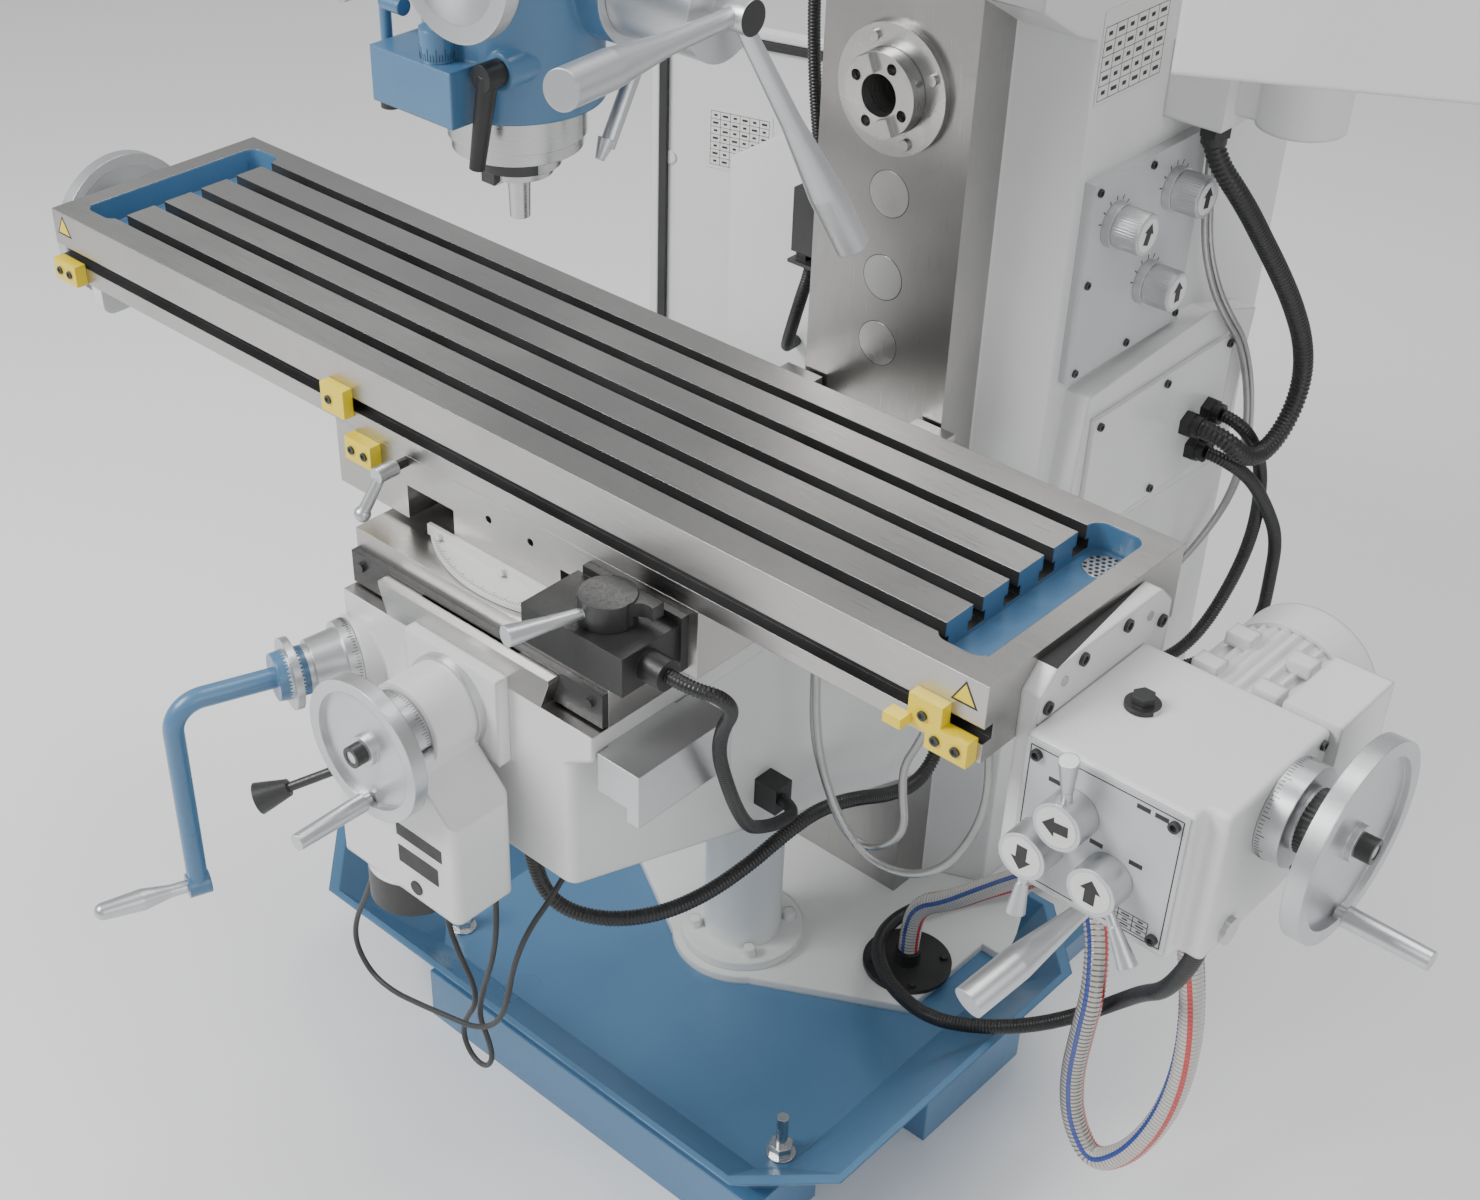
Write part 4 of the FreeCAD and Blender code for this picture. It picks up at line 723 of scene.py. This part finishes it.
# --- Warning triangles --------------------------------------------------------------------------
# Printed foil without its words: a yellow triangle on a black one, on the table's two ends and
# on the motor's terminal box.
TRIANGLE = [(-13, -9), (13, -9), (0, 14)]
table_front = lowest("table", "y")
inner_share = 0.78
for number, (x, y, z) in enumerate(((524, table_front, 902), (-706, table_front, 902),
                                    (717, -359, 832))):
    laid(f"triangle_edge_{number}", "table_body", ink_and_shade, extruded(TRIANGLE, (x, y, z), X, Z, 0.2))
    laid(f"triangle_{number}", "table_body", yellow, extruded(
        [(a * inner_share, b * inner_share) for a, b in TRIANGLE], (x, y - 0.2, z), X, Z, 0.15))


# --- Conduits and leads ---------------------------------------------------------------------------
# Flexible conduits of black corrugated nylon and thin rubber-sheathed leads. Each hangs from its
# gland under its own weight.
def route(name, points):
    """A smooth open spline through the neighbourhood of its points, which are millimetres."""
    curve = bpy.data.curves.new(name, "CURVE")
    curve.dimensions = "3D"
    curve.resolution_u = 10
    spline = curve.splines.new("NURBS")
    spline.points.add(len(points) - 1)
    for point, place in zip(spline.points, points):
        point.co = (*(value / 1000 for value in place), 1)
    spline.order_u = 3
    spline.use_endpoint_u = True
    return curve


def line_points(curve):
    """The spline's own line as an array of points."""
    holder = bpy.data.objects.new("line", curve)
    mesh = bpy.data.meshes.new_from_object(holder)
    line = np.array([v.co for v in mesh.vertices])
    bpy.data.objects.remove(holder)
    bpy.data.meshes.remove(mesh)
    return line


def tube_mesh(name, line, radius_at, step, around=20):
    """A tube along a line: rings of points at equal steps, each ring's radius from its
    distance along the line and its angle, turned from ring to ring without twist."""
    gaps = np.linalg.norm(np.diff(line, axis=0), axis=1)
    reach = np.concatenate([[0], np.cumsum(gaps)])
    count = max(8, int(reach[-1] / step))
    travel = np.linspace(0, reach[-1], count)
    middle = np.stack([np.interp(travel, reach, line[:, k]) for k in range(3)], 1)
    ahead_of = np.gradient(middle, axis=0)
    ahead_of /= np.linalg.norm(ahead_of, axis=1)[:, None]
    side = np.cross(ahead_of[0], (0.3, 0.2, 0.93))
    sides = np.empty_like(middle)
    for k in range(count):
        side = side - ahead_of[k] * side.dot(ahead_of[k])
        side /= np.linalg.norm(side)
        sides[k] = side
    ups = np.cross(ahead_of, sides)
    angle = np.linspace(0, 2 * math.pi, around, endpoint=False)
    radius = radius_at(travel[:, None], angle[None, :])
    rings = (middle[:, None] + sides[:, None] * (radius * np.cos(angle))[..., None]
             + ups[:, None] * (radius * np.sin(angle))[..., None])
    k, j = np.meshgrid(np.arange(count - 1), np.arange(around), indexing="ij")
    following = (j + 1) % around
    faces = np.stack([k * around + j, k * around + following, (k + 1) * around + following,
                      (k + 1) * around + j], -1).reshape(-1, 4).tolist()
    faces.append(list(range(around))[::-1])
    faces.append([(count - 1) * around + n for n in range(around)])
    mesh = bpy.data.meshes.new(name)
    mesh.from_pydata(rings.reshape(-1, 3).tolist(), [], faces)
    corners = [(travel[k], j / around), (travel[k], (j + 1) / around),
               (travel[k + 1], (j + 1) / around), (travel[k + 1], j / around)]
    turns = np.stack([np.stack(corner, -1) for corner in corners], 2)
    flat = np.zeros((len(mesh.loops), 2), np.float32)
    flat[:turns.size // 2] = turns.reshape(-1, 2)
    mesh.uv_layers.new(name="along").data.foreach_set("uv", flat.ravel())
    for polygon in mesh.polygons:
        polygon.use_smooth = len(polygon.vertices) == 4
    piece = bpy.data.objects.new(name, mesh)
    bpy.context.scene.collection.objects.link(piece)
    return piece, reach[-1]


def corrugated(radius, pitch):
    """Radius along a corrugated conduit: ribs a pitch apart, shallow valleys between."""
    return lambda travel, angle: (radius * (0.93 + 0.07 * np.clip(
        1.6 * np.cos(2 * math.pi * travel / pitch), -1, 1)) + 0 * angle)


def plain(radius):
    """Radius of a smooth sheath."""
    return lambda travel, angle: radius + 0 * travel + 0 * angle


def lay_cord(name, points, diameter, material, body, replaced=None, pitch=None, shape=None):
    """A cord along its route, with its real thickness. It is smooth, or corrugated when it has a
    pitch, with four rings to a pitch."""
    line = line_points(route(name + "_route", points))
    if shape is None:
        shape = corrugated(diameter / 2, pitch) if pitch else plain(diameter / 2)
    piece, length = tube_mesh(name, line, shape, step=pitch / 4 if pitch else 0.004)
    piece.data.materials.append(material)
    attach(piece, body)
    if replaced:
        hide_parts(replaced)


conduit = black("conduit_nylon", tone=0.016, rough=0.34, grain=500.0, strength=0.15)
lead = black("lead_rubber", tone=0.03, rough=0.5, grain=600.0, strength=0.2)
lay_cord("feed_lead_outer", [(-80, -690, 473), (-80, -690, 430), (-100, -690, 378),
         (-125, -690, 325), (-130, -690, 285), (-108, -690, 256), (-72, -690, 252),
         (-28, -690, 264), (18, -688, 276), (58, -684, 284), (88, -680, 310), (100, -676, 350),
         (102, -668, 395), (110, -652, 440), (116, -625, 468), (118, -600, 497)],
         0.006, lead, "knee_body", replaced="feed_cable_1")
lay_cord("feed_lead_inner", [(5, -670, 426), (5, -670, 392), (20, -668, 352), (38, -666, 318),
         (36, -665, 288), (18, -665, 256), (12, -665, 226), (28, -667, 206), (50, -668, 206),
         (64, -669, 230), (60, -670, 258), (48, -672, 288), (58, -672, 335), (72, -670, 380),
         (78, -666, 430), (78, -666, 473)],
         0.006, lead, "knee_body", replaced="feed_cable_2")
lay_cord("floor_conduit_sleeve", [(690, -400, 722.5), (690, -400, 670), (680, -390, 600),
         (640, -345, 500), (584, -268, 402), (538, -216, 320), (492, -200, 255),
         (440, -212, 208), (382, -226, 174), (326, -234, 152), (268, -212, 128),
         (218, -180, 108), (174, -140, 96), (150, -80, 84), (158, -10, 74), (184, 52, 68),
         (218, 100, 66), (238, 145, 66), (236, 190, 66), (206, 226, 70), (166, 240, 74)],
         0.017, conduit, "base", replaced="floor_conduit", pitch=0.0042)
lay_cord("knee_conduit_sleeve", [(60, -600, 497), (62, -598, 452), (84, -590, 412),
         (122, -560, 396), (150, -508, 386), (164, -450, 384), (172, -390, 392),
         (176, -340, 404), (184, -290, 416), (192, -236, 404), (196, -176, 374),
         (196, -120, 358), (194, -84, 380), (188, -66, 428), (172, -60, 470), (142, -60, 480)],
         0.017, conduit, "knee_body", replaced="knee_conduit", pitch=0.0042)
lay_cord("switch_conduit_sleeve", [(255, -610, 807), (282, -610, 807), (302, -594, 800),
         (298, -572, 770), (272, -556, 728), (254, -540, 680), (248, -520, 630),
         (244, -498, 580), (236, -470, 536), (222, -434, 504), (214, -396, 480),
         (200, -346, 458), (175, -342, 457)],
         0.014, conduit, "knee_body", replaced="switch_conduit", pitch=0.0036)
lay_cord("arm_conduit_sleeve", [(222, 268, 1020), (231, 270, 999), (247, 284, 972),
         (255, 312, 938), (259, 346, 898), (267, 384, 850), (277, 421, 796), (284, 456, 736),
         (287, 470, 680), (286, 454, 630), (284, 414, 604), (278, 374, 610), (260, 352, 640),
         (228, 352, 640)],
         0.024, conduit, "base", replaced="arm_conduit", pitch=0.0056)

# Conduits that only hang beside the column: two from the side cover's glands, and the limit
# switch's two.
lay_cord("side_conduit_inner", [(230, 398, 640), (250, 400, 638), (262, 430, 600),
         (262, 468, 540), (258, 489, 454), (246, 489, 373), (228, 462, 290), (200, 440, 240),
         (166, 430, 215)],
         0.017, conduit, "base", pitch=0.0042)
lay_cord("side_conduit_outer", [(230, 375, 598), (252, 378, 596), (270, 420, 560),
         (274, 470, 500), (276, 520, 430), (268, 545, 350), (262, 560, 270), (230, 540, 205),
         (166, 500, 170)],
         0.017, conduit, "base", pitch=0.0042)
lay_cord("limit_conduit_up", [(-127, 42, 955), (-128, 42, 985), (-138, 44, 1030),
         (-150, 50, 1090), (-158, 56, 1150), (-160, 60, 1225)],
         0.015, conduit, "base", pitch=0.0036)
lay_cord("limit_conduit_down", [(-127, 42, 868), (-128, 40, 840), (-136, 34, 800),
         (-152, 40, 755), (-178, 64, 712), (-204, 98, 690), (-215, 130, 682)],
         0.015, conduit, "base", pitch=0.0036)


# --- Lubrication hoses and column lines -----------------------------------------------------------
# Small hoses in a braid of steel wire. Two come from under the table and loop down beside the
# knee, and a pair runs down the column's side.
braid = satin("steel_braid", (0.50, 0.50, 0.49), (0.36, 0.36, 0.35), rough=0.36, metal=1.0)
braid_pitch = 0.003
lay_cord("lube_hose_left", [(175, -330, 730), (195, -330, 725), (195, -326, 640),
         (195, -322, 545), (205, -305, 470), (225, -300, 420), (257, -300, 412),
         (290, -300, 437), (306, -300, 470), (298, -300, 510), (296, -300, 548),
         (312, -300, 585), (332, -303, 650), (335, -305, 700), (320, -310, 760),
         (285, -318, 795), (243, -320, 800)],
         0.009, braid, "swivel", pitch=braid_pitch)
lay_cord("lube_hose_right", [(172, -345, 735), (210, -345, 700), (208, -335, 560),
         (225, -325, 480), (250, -318, 435), (278, -315, 415), (323, -312, 421),
         (365, -310, 456), (392, -310, 513), (405, -310, 571), (400, -312, 640),
         (380, -315, 710), (340, -320, 770), (290, -330, 800), (243, -345, 805)],
         0.009, braid, "swivel", pitch=braid_pitch)
column_line = [(190, 312, 1045), (192, 322, 990), (192, 330, 930), (196, 338, 870),
               (208, 354, 815), (212, 392, 765), (212, 448, 708), (212, 500, 602),
               (208, 522, 489), (192, 484, 404), (166, 452, 350)]
line_spacing = 11
for number in range(2):
    lay_cord(f"column_bundle_{number}",
             [(x, y + line_spacing * number, z) for x, y, z in column_line],
             0.008, braid, "base", pitch=braid_pitch)


# --- Coolant hose -----------------------------------------------------------------------------
# Clear soft PVC over a steel wire spiral, with red and blue tracers that wind slowly round it.
# It slides over the spout under the table's drain and turns into the inlet plate.
hose_radius, wire_swell, wire_pitch = 0.0125, 0.0005, 0.0052
hose_look, tree, shader = finish("coolant_hose_pvc", (0.62, 0.61, 0.58), 0.2)
along_hose = node(tree, "UVMap", uv_map="along")
parts_of = node(tree, "SeparateXYZ")
tree.links.new(along_hose.outputs["UV"], parts_of.inputs["Vector"])


def stripe(centre, half_width):
    """One where the turn fraction, slowly wound along the hose, is near a centre."""
    turns_per_metre = 0.35
    wind = node(tree, "Math", operation="MULTIPLY_ADD")
    wind.inputs[1].default_value = turns_per_metre
    tree.links.new(parts_of.outputs["X"], wind.inputs[0])
    tree.links.new(parts_of.outputs["Y"], wind.inputs[2])
    wrap = node(tree, "Math", operation="FRACT")
    tree.links.new(wind.outputs["Value"], wrap.inputs[0])
    near = node(tree, "Math", operation="COMPARE")
    near.inputs[1].default_value = centre
    near.inputs[2].default_value = half_width
    tree.links.new(wrap.outputs["Value"], near.inputs[0])
    return near.outputs["Value"]


coil = node(tree, "Math", operation="MULTIPLY_ADD")
coil.inputs[1].default_value = 2 * math.pi / wire_pitch
tree.links.new(parts_of.outputs["X"], coil.inputs[0])
wave = node(tree, "Math", operation="SINE")
tree.links.new(coil.outputs["Value"], wave.inputs[0])
wire = node(tree, "ValToRGB")
wire.color_ramp.elements[0].position = 0.35
wire.color_ramp.elements[0].color = (0.50, 0.48, 0.44, 1)
wire.color_ramp.elements[1].position = 0.85
wire.color_ramp.elements[1].color = (0.13, 0.12, 0.11, 1)
tree.links.new(wave.outputs["Value"], wire.inputs["Fac"])
tinted = wire.outputs["Color"]
red, dark_blue = (0.50, 0.03, 0.03), (0.03, 0.06, 0.28)
for tint, centre in ((red, 0.18), (dark_blue, 0.42), (red, 0.68), (dark_blue, 0.92)):
    mix = node(tree, "Mix", data_type="RGBA")
    mix.inputs[7].default_value = (*tint, 1)
    tree.links.new(stripe(centre, half_width=0.035), mix.inputs[0])
    tree.links.new(tinted, mix.inputs[6])
    tinted = mix.outputs[2]
tree.links.new(tinted, shader.inputs["Base Color"])
shader.inputs["Coat Weight"].default_value = 0.7
shader.inputs["Coat Roughness"].default_value = 0.08


def over_wire(travel, angle):
    """Radius of the hose: a cosine of its length, which swells over each turn of the wire."""
    return hose_radius + wire_swell * np.cos(2 * math.pi * travel / wire_pitch) + 0 * angle


lay_cord("coolant_hose_tube", [(528, -297, 845), (528, -297, 790), (540, -284, 725),
         (560, -270, 655), (585, -262, 585), (608, -258, 510), (626, -257, 440),
         (637, -258, 370), (637, -259, 300), (624, -260, 230), (598, -260, 165),
         (562, -260, 125), (530, -259, 165), (519, -258, 225), (521, -256, 290),
         (522, -248, 350), (498, -218, 400), (450, -172, 405), (400, -132, 360),
         (345, -108, 300), (290, -98, 240), (240, -94, 185), (205, -93, 158),
         (190, -92, 120), (190, -92, 73)],
         0.026, hose_look, "base", replaced="coolant_hose", pitch=wire_pitch, shape=over_wire)


# --- Floor and light --------------------------------------------------------------------------------
# A pale seamless floor, a broad key light from the upper left, a fill from the right, a soft
# light from above, and even pale light from all round.
half_floor = 12.0
floor_look, tree, shader = finish("floor", (0.86, 0.86, 0.86), 0.6)
mesh = bpy.data.meshes.new("floor")
mesh.from_pydata([(-half_floor, -half_floor, 0), (half_floor, -half_floor, 0),
                  (half_floor, half_floor, 0), (-half_floor, half_floor, 0)], [], [(0, 1, 2, 3)])
floor = bpy.data.objects.new("floor", mesh)
floor.data.materials.append(floor_look)
bpy.context.scene.collection.objects.link(floor)


def softbox(name, place, aim, width, power):
    """A square area light at a place, turned towards a point."""
    lamp = bpy.data.objects.new(name, bpy.data.lights.new(name, "AREA"))
    lamp.data.size = width
    lamp.data.energy = power
    lamp.location = place
    lamp.rotation_euler = (Vector(aim) - Vector(place)).to_track_quat("-Z", "Y").to_euler()
    bpy.context.scene.collection.objects.link(lamp)


softbox("key", (-1.6, -3.0, 3.4), aim=(0, -0.2, 0.8), width=1.8, power=175)
softbox("fill", (3.4, -1.6, 2.0), aim=(0.2, -0.2, 0.7), width=2.4, power=38)
softbox("top", (0.2, 0.6, 4.2), aim=(0.1, -0.3, 0.6), width=2.4, power=95)
world = bpy.data.worlds.new("studio")
world.use_nodes = True
world.node_tree.nodes["Background"].inputs["Color"].default_value = (0.95, 0.96, 0.98, 1)
world.node_tree.nodes["Background"].inputs["Strength"].default_value = 0.5
bpy.context.scene.world = world
